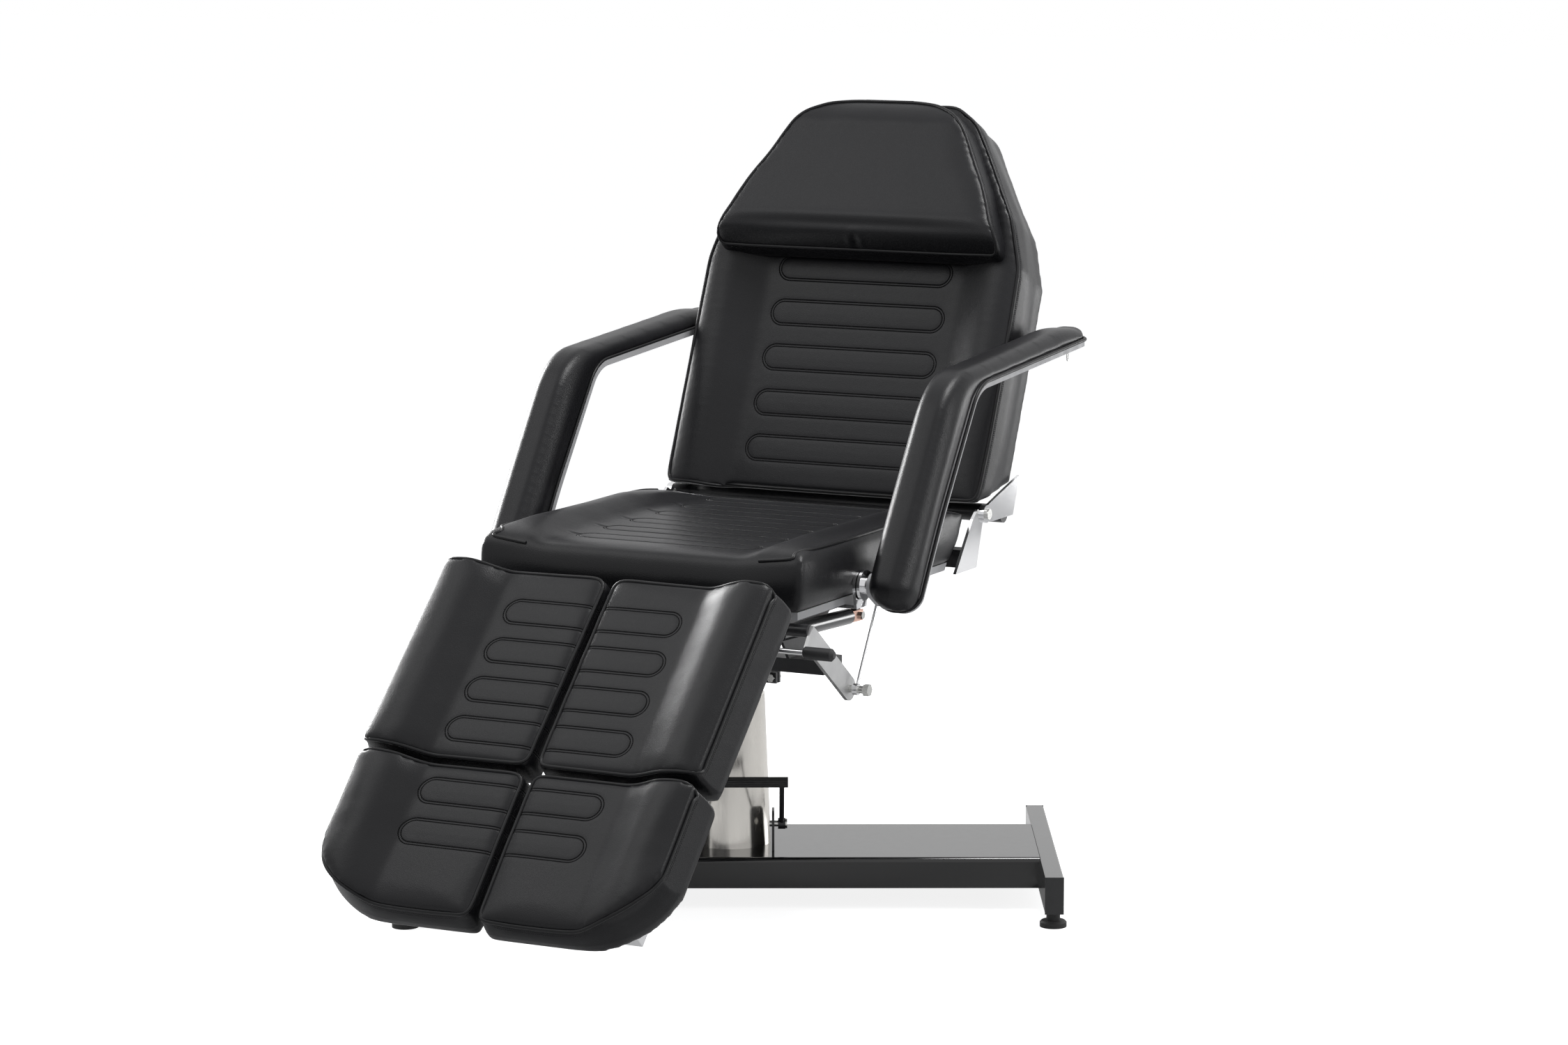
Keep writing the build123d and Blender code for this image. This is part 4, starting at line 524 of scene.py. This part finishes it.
def stitch_tree():
    """Short thread ends in a row along a path."""
    tree, given, sent = start_tree("stitches", (("Pitch", "Float"), ("Length", "Float"),
                                                ("Width", "Float")))
    curve = added(tree, "GeometryNodeMeshToCurve")
    even = added(tree, "GeometryNodeResampleCurve", mode="LENGTH")
    tangent = added(tree, "GeometryNodeInputTangent")
    turn = added(tree, "FunctionNodeAlignRotationToVector", axis="X")
    bead = added(tree, "GeometryNodeMeshUVSphere", {"Segments": 6, "Rings": 4, "Radius": 0.5})
    size = added(tree, "ShaderNodeCombineXYZ")
    copies = added(tree, "GeometryNodeInstanceOnPoints")
    wired(tree, (given, "Path", curve, "Mesh"), (curve, "Curve", even, "Curve"),
          (given, "Pitch", even, "Length"), (tangent, "Tangent", turn, "Vector"),
          (given, "Length", size, "X"), (given, "Width", size, "Y"), (given, "Width", size, "Z"),
          (even, "Curve", copies, "Points"), (bead, "Mesh", copies, "Instance"),
          (turn, "Rotation", copies, "Rotation"), (size, "Vector", copies, "Scale"))
    return end_tree(tree, given, sent, copies, "Instances")


def screw_tree():
    """Screws on points, all facing one way."""
    tree, given, sent = start_tree("screws", (("Screw", "Object"), ("Facing", "Vector")))
    spots = added(tree, "GeometryNodeMeshToPoints")
    screw = added(tree, "GeometryNodeObjectInfo")
    turn = added(tree, "FunctionNodeAlignRotationToVector", axis="Z")
    copies = added(tree, "GeometryNodeInstanceOnPoints")
    wired(tree, (given, "Path", spots, "Mesh"), (given, "Screw", screw, "Object"),
          (given, "Facing", turn, "Vector"), (spots, "Points", copies, "Points"),
          (screw, "Geometry", copies, "Instance"), (turn, "Rotation", copies, "Rotation"))
    return end_tree(tree, given, sent, copies, "Instances")


def screw_head():
    """Pan head with a six-sided socket, standing on its own origin."""
    turns = screw_turns
    points = []
    for reach, level in screw_rings:
        for n in range(turns):
            angle = math.tau * n / turns
            far = reach
            if reach < 0:
                far = -reach * (1 if n % 2 == 0 else math.cos(math.pi / 6))
            points.append((far * math.cos(angle), far * math.sin(angle), level))
    faces = [tuple(reversed(range(turns)))]
    for ring in range(len(screw_rings) - 1):
        for n in range(turns):
            low, after = ring * turns + n, ring * turns + (n + 1) % turns
            faces.append((low, after, after + turns, low + turns))
    faces.append(tuple(range(len(points) - turns, len(points))))
    return built("screw_head", points, [], faces)


def grown(tree, name, paths, body, sizes, material):
    """One piece made by a tree along its paths; each path is (points, closed)."""
    points, edges = [], []
    for line, closed in paths:
        first = len(points)
        points.extend([tuple(point) for point in line])
        edges.extend([(first + n, first + n + 1) for n in range(len(line) - 1)])
        if closed:
            edges.append((len(points) - 1, first))
    piece = built(name, points, edges, [])
    nodes = piece.modifiers.new("nodes", "NODES")
    nodes.node_group = tree
    inputs = {"Finish": material, **sizes}
    for item in tree.interface.items_tree:
        if item.item_type == "SOCKET" and item.in_out == "INPUT" and item.name in inputs:
            nodes[item.identifier] = inputs[item.name]
    piece.data = settled(piece)
    piece.modifiers.clear()
    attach(piece, body)


# Faces and meshes
def on_face(points, face):
    """Points in a face's own frame: across, up along the face, out of it."""
    turn = math.radians(face.lean)
    moved = np.asarray(points, float) - np.array(face.point)
    up = moved[:, 1] * math.cos(turn) + moved[:, 2] * math.sin(turn)
    out = -moved[:, 1] * math.sin(turn) + moved[:, 2] * math.cos(turn)
    return np.stack([moved[:, 0], up, out], 1)


def off_face(points, face):
    """The way back from a face's own frame to the chair's."""
    turn = math.radians(face.lean)
    points = np.asarray(points, float)
    y = points[:, 1] * math.cos(turn) - points[:, 2] * math.sin(turn)
    z = points[:, 1] * math.sin(turn) + points[:, 2] * math.cos(turn)
    return np.stack([points[:, 0], y, z], 1) + np.array(face.point)


def heading_of(face, across, up, out):
    """A direction of a face's own frame in the chair's."""
    return Vector(off_face([(across, up, out)], face)[0] - np.array(face.point)).normalized()


def local_of(piece, face):
    """Points of a piece in a face's own frame."""
    return on_face(points_of(piece.data), face)


def put_local(piece, local, face):
    put_points(piece.data, off_face(local, face))


def ramp(values, low, high):
    """0 to 1 between two values."""
    return np.clip((values - low) / (high - low), 0, 1)


def points_of(mesh):
    points = np.zeros(len(mesh.vertices) * 3)
    mesh.vertices.foreach_get("co", points)
    return points.reshape(-1, 3)


def put_points(mesh, points):
    mesh.vertices.foreach_set("co", np.asarray(points, np.float32).ravel())
    mesh.update()


def facing_front(piece, face):
    """1 where a pad faces the same way as its face, 0 on its walls and its back."""
    normals = np.zeros(len(piece.data.vertices) * 3)
    piece.data.vertices.foreach_get("normal", normals)
    out = on_face(normals.reshape(-1, 3) + np.array(face.point), face)[:, 2]
    return ramp(out, 0, 0.5)


def settled(piece):
    """Mesh of a piece with its modifiers applied."""
    graph = bpy.context.evaluated_depsgraph_get()
    return bpy.data.meshes.new_from_object(piece.evaluated_get(graph))


def applied(piece, kind, **settings):
    """Gives a piece the mesh that one modifier makes of it."""
    modifier = piece.modifiers.new(kind, kind)
    for name, setting in settings.items():
        setattr(modifier, name, setting)
    piece.data = settled(piece)
    piece.modifiers.clear()


def surface_of(piece):
    """Ray target of a finished piece."""
    return BVHTree.FromObject(piece, bpy.context.evaluated_depsgraph_get())


def smooth_shaded(piece, material):
    piece.data.materials.clear()
    piece.data.materials.append(material)
    piece.data.polygons.foreach_set("use_smooth", [True] * len(piece.data.polygons))
    piece.data.update()


# Lines on the pads
def softened(path, turns):
    """Closed path, each point averaged with its neighbours over several turns."""
    for _ in range(turns):
        path = (np.roll(path, 1, 0) + path * 2 + np.roll(path, -1, 0)) / 4
    return path


def outward(path, reach, turns=0):
    """Unit directions square to a flat closed path, away from its middle."""
    along = np.roll(path, -reach, 0) - np.roll(path, reach, 0)
    out = softened(np.stack([along[:, 1], -along[:, 0]], 1), turns)
    out /= np.maximum(np.linalg.norm(out, axis=1, keepdims=True), 1e-9)
    return out if (out * (path - path.mean(0))).sum() >= 0 else -out


def even_points(line, step, closed=False):
    """Points at even steps along a flat line, and their runs along it."""
    runs = np.concatenate([[0], np.cumsum(np.linalg.norm(np.diff(line, axis=0), axis=1))])
    places = np.linspace(0, runs[-1], int(runs[-1] / step), endpoint=not closed)
    return np.stack([np.interp(places, runs, line[:, n]) for n in (0, 1)], 1), places


def met(surface, start, heading, reach, proud=0):
    """Where a ray meets a surface, a little proud of it: a list of one point or none."""
    place, normal, *_ = surface.ray_cast(Vector(start), heading, reach)
    return [] if place is None else [place + normal * proud]


def laid(surface, face, points, out, proud):
    """Points of a face's frame carried straight onto a surface, a little proud of it."""
    start_back, reach = 0.3, 0.6
    heading = heading_of(face, 0, 0, out)
    path = []
    for start in off_face(points, face):
        path += met(surface, Vector(start) - heading * start_back, heading, reach, proud)
    return path


def rim_path(piece, face, proud):
    """Closed path round a pad's front rim."""
    step, inset, high, depth, start_off, reach = 0.008, 0.012, 0.4, 0.8, 0.06, 0.3
    surface = surface_of(piece)
    flat = local_of(piece, face)[:, :2]
    hull = flat[convex_hull_2d([tuple(point) for point in flat])]
    even, _ = even_points(np.vstack([hull, hull[:1]]), step, closed=True)
    path = []
    for point, away in zip(even, outward(even, 2)):
        top = off_face([(*(point - away * inset), high)], face)[0]
        inner = met(surface, top, heading_of(face, 0, 0, -1), depth)
        if inner:
            level = on_face(inner, face)[0, 2]
            start = off_face([(*(point + away * start_off), level + start_off)], face)[0]
            path += met(surface, start, heading_of(face, *-away, -1), reach, proud)
    return softened(np.array(path), 2)


def wall_path(piece, face, path, drop):
    """A path below a pad's piping, on its side wall."""
    start_off, reach, proud = 0.05, 0.12, 0.0002
    surface = surface_of(piece)
    local = on_face(path, face)
    line = []
    for point, away in zip(local, outward(local[:, :2], 1, 3)):
        start = off_face([(*(point[:2] + away * start_off), point[2] - drop)], face)[0]
        line += met(surface, start, heading_of(face, *-away, 0), reach, proud)
    return softened(np.array(line), 3)


def side_run(path, side):
    """The part of the seat's piping on one side, open at both ends."""
    kept = [side * point[0] > seat_piping_low_x and point[1] < seat_piping_high_y
            for point in path]
    start = next(i for i in range(len(path)) if kept[i] and not kept[i - 1])
    return [path[(start + i) % len(path)] for i in range(sum(kept))]


def bent_arm():
    """Even points of the arm board's line with rounded bends, their headings and runs."""
    step, bend_points = 0.004, 16
    line = [np.array(arm_line[0])]
    for before, corner, after, bend in zip(arm_line, arm_line[1:], arm_line[2:], arm_bends):
        corner = np.array(corner)
        into = (corner - before) / np.linalg.norm(corner - before)
        out = (after - corner) / np.linalg.norm(after - corner)
        turn = math.acos(into @ out)
        side = out - into * (into @ out)
        side /= np.linalg.norm(side)
        centre = corner - into * bend * math.tan(turn / 2) + side * bend
        for angle in np.linspace(0, turn, bend_points):
            line.append(centre + (into * math.sin(angle) - side * math.cos(angle)) * bend)
    line.append(np.array(arm_line[-1]))
    even, runs = even_points(np.array(line), step)
    along = np.gradient(even, axis=0)
    along /= np.linalg.norm(along, axis=1, keepdims=True)
    return even, along, runs


def arm_edge(side):
    """Closed path round the edge of an arm board, where its pad is sewn."""
    step, corner_points = 0.004, 9
    line, along, runs = bent_arm()
    radius = arm_end_radius
    low, high = arm_low_x + arm_piping_in + radius, arm_high_x + arm_piping_out - radius
    first, last = radius - arm_piping_out, runs[-1] + arm_piping_out - radius
    ring = []
    for run, across, start in ((last, high, 90), (last, low, 0), (first, low, -90),
                               (first, high, -180)):
        for angle in np.radians(np.linspace(start, start - 90, corner_points)):
            ring.append((run + radius * math.cos(angle), across + radius * math.sin(angle)))
    ring, _ = even_points(np.array(ring + ring[:1]), step, closed=True)
    run, across = ring.T
    over = np.clip(run, 0, runs[-1])
    y, z = (np.interp(over, runs, line[:, n]) for n in (0, 1))
    dy, dz = (np.interp(over, runs, along[:, n]) for n in (0, 1))
    past, rise = run - over, arm_piping_rise
    return np.stack([across * side, y + dy * past - dz * rise, z + dz * past + dy * rise], 1)


def channel_paths(surface, face, channels, side=0, lean=0):
    """Two stitched lines on each channel; on a leg pad they start at its inner edge."""
    step, end_points, proud = 0.005, 14, 0.00005
    straight = channels.half_length - channels.half_height
    paths = []
    for row in range(channels.rows):
        for gap in (-seam_half_gap, seam_half_gap):
            reach = channels.half_height + gap
            run = np.arange(leg_channel_start if side else -straight, straight, step)
            turn = np.linspace(-math.pi / 2, math.pi / 2, end_points)
            line = [(x, -reach) for x in run]
            line += [(straight + reach * math.cos(a), reach * math.sin(a)) for a in turn]
            line += [(x, reach) for x in run[::-1]]
            if not side:
                line += [(-straight - reach * math.cos(a), -reach * math.sin(a))
                         for a in turn[1:-1]]
            middle = channels.first + row * channels.pitch
            points = [((side or 1) * x + lean * (middle + y), middle + y, 0) for x, y in line]
            path = laid(surface, face, points, -1, proud)
            if path:
                paths.append((path, not side))
    return paths


# Shapes of the pads
def solid_copy(node, name, face, channels):
    """Closed copy of a CAD cushion with its sewn grooves levelled out."""
    weld, tolerance = 0.00002, 0.0002
    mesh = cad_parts[node].data.copy()
    shape = bmesh.new()
    shape.from_mesh(mesh)
    bmesh.ops.remove_doubles(shape, verts=shape.verts, dist=weld)
    shape.to_mesh(mesh)
    shape.free()
    if channels is not None:
        local = on_face(points_of(mesh), face)
        sunk = np.abs(local[:, 2] + channels.level + groove_depth) < tolerance
        local[sunk, 2] = -channels.level
        put_points(mesh, off_face(local, face))
    mesh.materials.clear()
    return new_piece(name, mesh)


def seam_distance(local, channels):
    """Signed distance from the nearest channel outline, negative inside the channel."""
    row = np.clip(np.round((local[:, 1] - channels.first) / channels.pitch), 0,
                  channels.rows - 1)
    up = local[:, 1] - channels.first - row * channels.pitch
    side = np.maximum(np.abs(local[:, 0]) - (channels.half_length - channels.half_height), 0)
    return np.hypot(side, up) - channels.half_height


def evened(mesh, steps, turns):
    """Each point's step averaged with its neighbours' over several turns."""
    edges = np.empty(len(mesh.edges) * 2, dtype=np.int32)
    mesh.edges.foreach_get("vertices", edges)
    first, second = edges[::2], edges[1::2]
    count = np.bincount(edges, minlength=len(steps))[:, None] + 1
    for _ in range(turns):
        total = steps.copy()
        np.add.at(total, first, steps[second])
        np.add.at(total, second, steps[first])
        steps = total / count
    return steps


def swell(piece, held, cap):
    """Fills a pad with air as cloth; held points stay, and no point moves beyond its cap."""
    even_turns, soft_turns = 12, 3
    rest = points_of(piece.data)
    group = piece.vertex_groups.new(name="held")
    group.add(np.nonzero(held)[0].tolist(), 1.0, "REPLACE")
    cloth = piece.modifiers.new("cloth", "CLOTH")
    cloth.settings.vertex_group_mass = "held"
    cloth.settings.use_pressure = True
    cloth.settings.uniform_pressure_force = cloth_pressure
    cloth.settings.quality = 4
    cloth.settings.effector_weights.gravity = 0
    cloth.point_cache.frame_start = 1
    cloth.point_cache.frame_end = cloth_frames
    for number in range(1, cloth_frames + 1):
        scene.frame_set(number)
    moved = points_of(settled(piece))
    scene.frame_set(1)
    piece.modifiers.clear()
    piece.vertex_groups.clear()
    step = moved - rest
    length = np.linalg.norm(step, axis=1, keepdims=True)
    step *= np.minimum(1, cap / np.maximum(length, 1e-9))
    put_points(piece.data, rest + evened(piece.data, step, even_turns))
    applied(piece, "SMOOTH", factor=0.5, iterations=soft_turns)


def sew_channels(piece, face, channels, lean=0):
    """Shallow valley along each seam and a slight crown inside each channel."""
    shown_from, shown_full, crown_curve = 0.024, 0.014, 0.7
    local = local_of(piece, face)
    away = seam_distance(local - np.outer(local[:, 1], (lean, 0, 0)), channels)
    front = ramp(local[:, 2] + channels.level, -shown_from, -shown_full)
    front *= facing_front(piece, face)
    valley = valley_depth * np.exp(-(away / valley_width) ** 2)
    crown = crown_height * np.clip(-away / channels.half_height, 0, 1) ** crown_curve
    local[:, 2] += front * (crown - valley)
    put_local(piece, local, face)


def fold(piece, face, folds):
    """Soft creases that fade at their ends, each with a low lip along both sides."""
    end_share, end_curve, lip_share, lip_away = 0.08, 0.7, 0.45, 1.9
    local = local_of(piece, face)
    front = facing_front(piece, face)
    for low_x, low_y, high_x, high_y, width, depth in folds:
        start = np.array((low_x, low_y))
        run = np.array((high_x, high_y)) - start
        step = local[:, :2] - start
        held = np.clip((step @ run) / (run @ run), 0, 1)
        away = np.linalg.norm(step - held[:, None] * run, axis=1)
        ends = np.sin(np.pi * (end_share + (1 - 2 * end_share) * held)) ** end_curve
        lip = lip_share * np.exp(-(away / width - lip_away) ** 2)
        ridge = np.exp(-(away / width) ** 2) - lip
        local[:, 2] -= front * ends * depth * ridge
    put_local(piece, local, face)


def raise_rims(piece, face, widths, band, lift, grow):
    """Raises a pad's side bolsters and moves them out, fading towards its board."""
    wall_low, wall_high = -0.075, -0.015
    local = local_of(piece, face)
    half = np.interp(local[:, 1], *zip(*widths))
    share = ramp(np.abs(local[:, 0]), half - band, half)
    share = share * share * (3 - 2 * share)
    front = ramp(local[:, 2], wall_low, wall_high)
    local[:, 2] += lift * share * front
    local[:, 0] += np.sign(local[:, 0]) * grow * share * np.clip(front * 1.5, 0, 1)
    put_local(piece, local, face)


def fit_pillow(piece):
    """Widens the pillow towards its top, draws its low corners in, turns its roll down."""
    proud_full, roll_curve = 0.02, 1.5
    local = local_of(piece, back_face)
    local[:, 0] *= np.interp(local[:, 1], *zip(*pillow_growth))
    proud = ramp(local[:, 2], 0, proud_full)
    drop = ramp(local[:, 1], roll_high_y, roll_low_y)
    local[:, 2] -= roll_drop * drop ** roll_curve * proud
    put_local(piece, local, back_face)


def round_arm(piece):
    """Rolls an arm pad's long edges over and narrows it to rounded ends."""
    line, along, runs = bent_arm()
    points = points_of(piece.data)
    near = np.argmin(((points[:, None, 1:] - line[None]) ** 2).sum(2), 1)
    run = runs[near] + ((points[:, 1:] - line[near]) * along[near]).sum(1)
    reach = np.minimum(run + arm_pad_start, runs[-1] + arm_pad_past - run)
    radius = arm_end_radius + arm_pad_past
    short = np.clip(1 - reach / radius, 0, 1)
    half = (arm_high_x - arm_low_x) / 2
    middle = (arm_high_x + arm_low_x) / 2
    away = np.stack([-along[near][:, 1], along[near][:, 0]], 1)
    height = ((points[:, 1:] - line[near]) * away).sum(1)
    edge = half - np.abs(points[:, 0] - middle)
    roll = ramp(edge, arm_roll_width, 0) ** 2
    points[:, 1:] -= away * (height * roll * arm_roll)[:, None]
    share = (half - radius + radius * np.sqrt(1 - short ** 2)) / half
    points[:, 0] = middle + (points[:, 0] - middle) * np.maximum(share, arm_least_share)
    put_points(piece.data, points)


def round_toe(piece):
    """Brings the foot pad's outer lower corner to a full round."""
    places, window = 25, 0.05
    local = local_of(piece, leg_face)
    middle_x, middle_y = toe_corner
    step_x, step_y = local[:, 0] - middle_x, middle_y - local[:, 1]
    corner = (step_x > 0) & (step_y > 0)
    turn = np.arctan2(step_y, step_x)
    far = np.hypot(step_x, step_y)
    turns = np.linspace(0, math.pi / 2, places)
    rim = np.array([far[corner & (np.abs(turn - at) < window)].max() for at in turns])
    full = (np.abs(np.cos(turns) / rim[0]) ** toe_power
            + np.abs(np.sin(turns) / rim[-1]) ** toe_power) ** (-1 / toe_power)
    rim_at, full_at = np.interp(turn, turns, rim), np.interp(turn, turns, full)
    grow = 1 + (full_at / rim_at - 1) * np.clip(far / rim_at, 0, 1) ** 2
    local[corner, 0] = (middle_x + step_x * grow)[corner]
    local[corner, 1] = (middle_y - step_y * grow)[corner]
    put_local(piece, local, leg_face)


def fit_leg(piece, side, lean, foot):
    """Widens a leg pad and flares its outer wall, lengthens the foot pad, leans it across."""
    local = local_of(piece, leg_face)
    along = local[:, 1].copy()
    across = np.interp(np.abs(local[:, 0]), *zip(*leg_across))
    deep = ramp(local[:, 2], *wall_depths)
    across += wall_flare * deep * ramp(across, *flare_across) ** 2
    if foot:
        toe = ramp(along, *toe_start_end)
        local[:, 1] -= toe_growth[side] * toe + toe_flare * toe * deep
    local[:, 0] = side * across + lean * (foot_lean_y if foot else along)
    put_local(piece, local, leg_face)


# Pads, seams and fastenings
def make_pad(node, name, body, material, face, channels, voxel, held_depth, cap,
             rounds=7, folds=(), shape=None, rims=None, sewn=True):
    """One stuffed pad in the space of its CAD cushion."""
    seam_band, seam_under, free_from, free_full = voxel * 0.7, 0.015, 0.010, 0.070
    pad = solid_copy(node, name, face, channels)
    applied(pad, "REMESH", mode="VOXEL", voxel_size=voxel)
    applied(pad, "SMOOTH", factor=0.5, iterations=rounds)
    if shape is not None:
        shape(pad)
    if rims is not None:
        raise_rims(pad, face, *rims)
    local = local_of(pad, face)
    held = local[:, 2] < -held_depth
    limit = np.full((len(local), 1), cap)
    if channels is not None:
        away = seam_distance(local, channels)
        held |= (np.abs(away) < seam_band) & (local[:, 2] > -channels.level - seam_under)
        limit[:, 0] = seam_cap + (cap - seam_cap) * ramp(away, free_from, free_full)
    swell(pad, held, limit)
    applied(pad, "SUBSURF", levels=1, render_levels=1)
    if channels is not None and sewn:
        sew_channels(pad, face, channels)
    fold(pad, face, folds)
    smooth_shaded(pad, material)
    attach(pad, body)
    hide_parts(node)
    return pad


def mirrored(pad, name, body, node, material):
    """The left side's pad, from the right side's."""
    mesh = pad.data.copy()
    points = points_of(mesh)
    points[:, 0] *= -1
    mesh.flip_normals()
    put_points(mesh, points)
    other = new_piece(name, mesh)
    smooth_shaded(other, material)
    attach(other, body)
    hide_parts(node)
    return other


def make_upholstery():
    """All pads of the chair."""
    leather = finishes["leatherette"]
    pads = {
        "seat": make_pad("seat_cushion", "seat_pad", "seat", seat_leather, seat_face,
                         seat_channels, voxel=0.0068, held_depth=0.070, cap=0.004,
                         folds=seat_folds, rims=(even_widths, 0.100, 0.003, 0)),
        "back": make_pad("back_cushion", "back_pad", "back", back_leather, back_face,
                         back_channels, voxel=0.0070, held_depth=0.085, cap=0.003,
                         rims=(back_widths, 0.105, 0.012, 0.010)),
        "pillow": make_pad("head_pillow", "pillow_pad", "back", leather, back_face, None,
                           voxel=0.0055, held_depth=-0.004, cap=0.003,
                           folds=pillow_folds, shape=fit_pillow),
    }
    for part, body, channels in leg_parts:
        right, left = part + "_right", part + "_left"
        pads[right] = make_pad(part + "_cushion_right", part + "_pad_right", body + "_right",
                               leg_leathers[right], leg_face, channels, voxel=0.0055,
                               held_depth=0.052, cap=0.003, sewn=False,
                               rims=(even_widths, 0.105, 0.010, 0.006),
                               shape=round_toe if part == "foot" else None)
        pads[left] = mirrored(pads[right], part + "_pad_left", body + "_left",
                              part + "_cushion_left", leg_leathers[left])
        for name, side in sides:
            pad = pads[part + "_" + name]
            fit_leg(pad, side, leg_lean[name], part == "foot")
            sew_channels(pad, leg_face, channels, channel_lean[part + "_" + name])
    band = make_pad("arm_pad_right", "arm_band_right", "arm_right", leather, seat_face, None,
                    voxel=0.0050, held_depth=9, cap=0.002, rounds=14, shape=round_arm)
    mirrored(band, "arm_band_left", "arm_left", "arm_pad_left", leather)
    return pads


def make_seams(pads):
    """Piping round the pads and the arm boards, and the thread of all seams."""
    piping, stitches = piping_tree(), stitch_tree()
    cord = {"Radius": piping_radius}
    sewn = [("seat", seat_face, "seat", seat_channels, 0, 0),
            ("back", back_face, "back", back_channels, 0, 0)]
    for name, side in sides:
        for part, body, channels in leg_parts:
            pad = part + "_" + name
            sewn.append((pad, leg_face, body + "_" + name, channels, side, channel_lean[pad]))
        grown(piping, "arm_piping_" + name, [(arm_edge(side), True)], "arm_" + name, cord,
              piping_leather)
    rims = [("back", back_face, "back"), ("pillow", back_face, "back")]
    for part, face, body in rims + [row[:3] for row in sewn[2:]]:
        path = rim_path(pads[part], face, piping_radius * piping_proud)
        grown(piping, part + "_piping", [(path, True)], body, cord, piping_leather)
        seams = [(wall_path(pads[part], face, path, drop), True) for drop in wall_drops]
        grown(stitches, part + "_wall_stitches", seams, body, thread_size, thread)
    path = wall_path(pads["seat"], seat_face, rim_path(pads["seat"], seat_face, 0),
                     -seat_piping_rise)
    grown(piping, "seat_piping", [(side_run(path, side), False) for side in (-1, 1)], "seat",
          cord, piping_leather)
    for part, face, body, channels, side, lean in sewn:
        paths = channel_paths(surface_of(pads[part]), face, channels, side, lean)
        grown(stitches, part + "_stitches", paths, body, thread_size, thread)


def make_fastenings():
    """Board screws and the wire loop under the arm board."""
    screws, head = screw_tree(), screw_head()
    zinc = finishes["zinc_steel"]
    boards = [("back_board", "back", back_face, back_screws)]
    for name, side in sides:
        for part, body, channels in leg_parts:
            across, up = leg_screws[part]
            boards.append((part + "_board_" + name, body + "_" + name, leg_face,
                           [(side * x, y) for x in across for y in up]))
    for node, body, face, spots in boards:
        places = laid(surface_of(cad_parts[node]), face, [(x, y, 0) for x, y in spots], 1, 0)
        if places:
            grown(screws, node + "_screws", [([place], False) for place in places], body,
                  {"Screw": head, "Facing": tuple(heading_of(face, 0, 0, -1))}, zinc)
    bpy.data.objects.remove(head)
    x, y, z = loop_place
    ring = [(x, y + loop_half_y * math.sin(angle), z + loop_half_z * math.cos(angle))
            for angle in np.linspace(0, math.tau, loop_points, endpoint=False)]
    grown(piping_tree(), "arm_wire_loop", [(ring, True)], "arm_right", {"Radius": loop_radius},
          zinc)


def make_strap():
    """Flat strap that hangs the pillow over the top of the back."""
    strap = solid_copy("pillow_strap", "pillow_band", back_face, None)
    local = local_of(strap, back_face)
    local[:, 1] = np.minimum(local[:, 1], strap_high_y)
    put_local(strap, local, back_face)
    smooth_shaded(strap, finishes["leatherette"])
    applied(strap, "BEVEL", width=0.0006, segments=2, limit_method="ANGLE")
    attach(strap, "back")
    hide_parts("pillow_strap")


add_camera()
add_world()
add_lamps()
add_floor()
scene.view_settings.view_transform = "Standard"
finish_frame()
make_seams(make_upholstery())
make_strap()
make_fastenings()
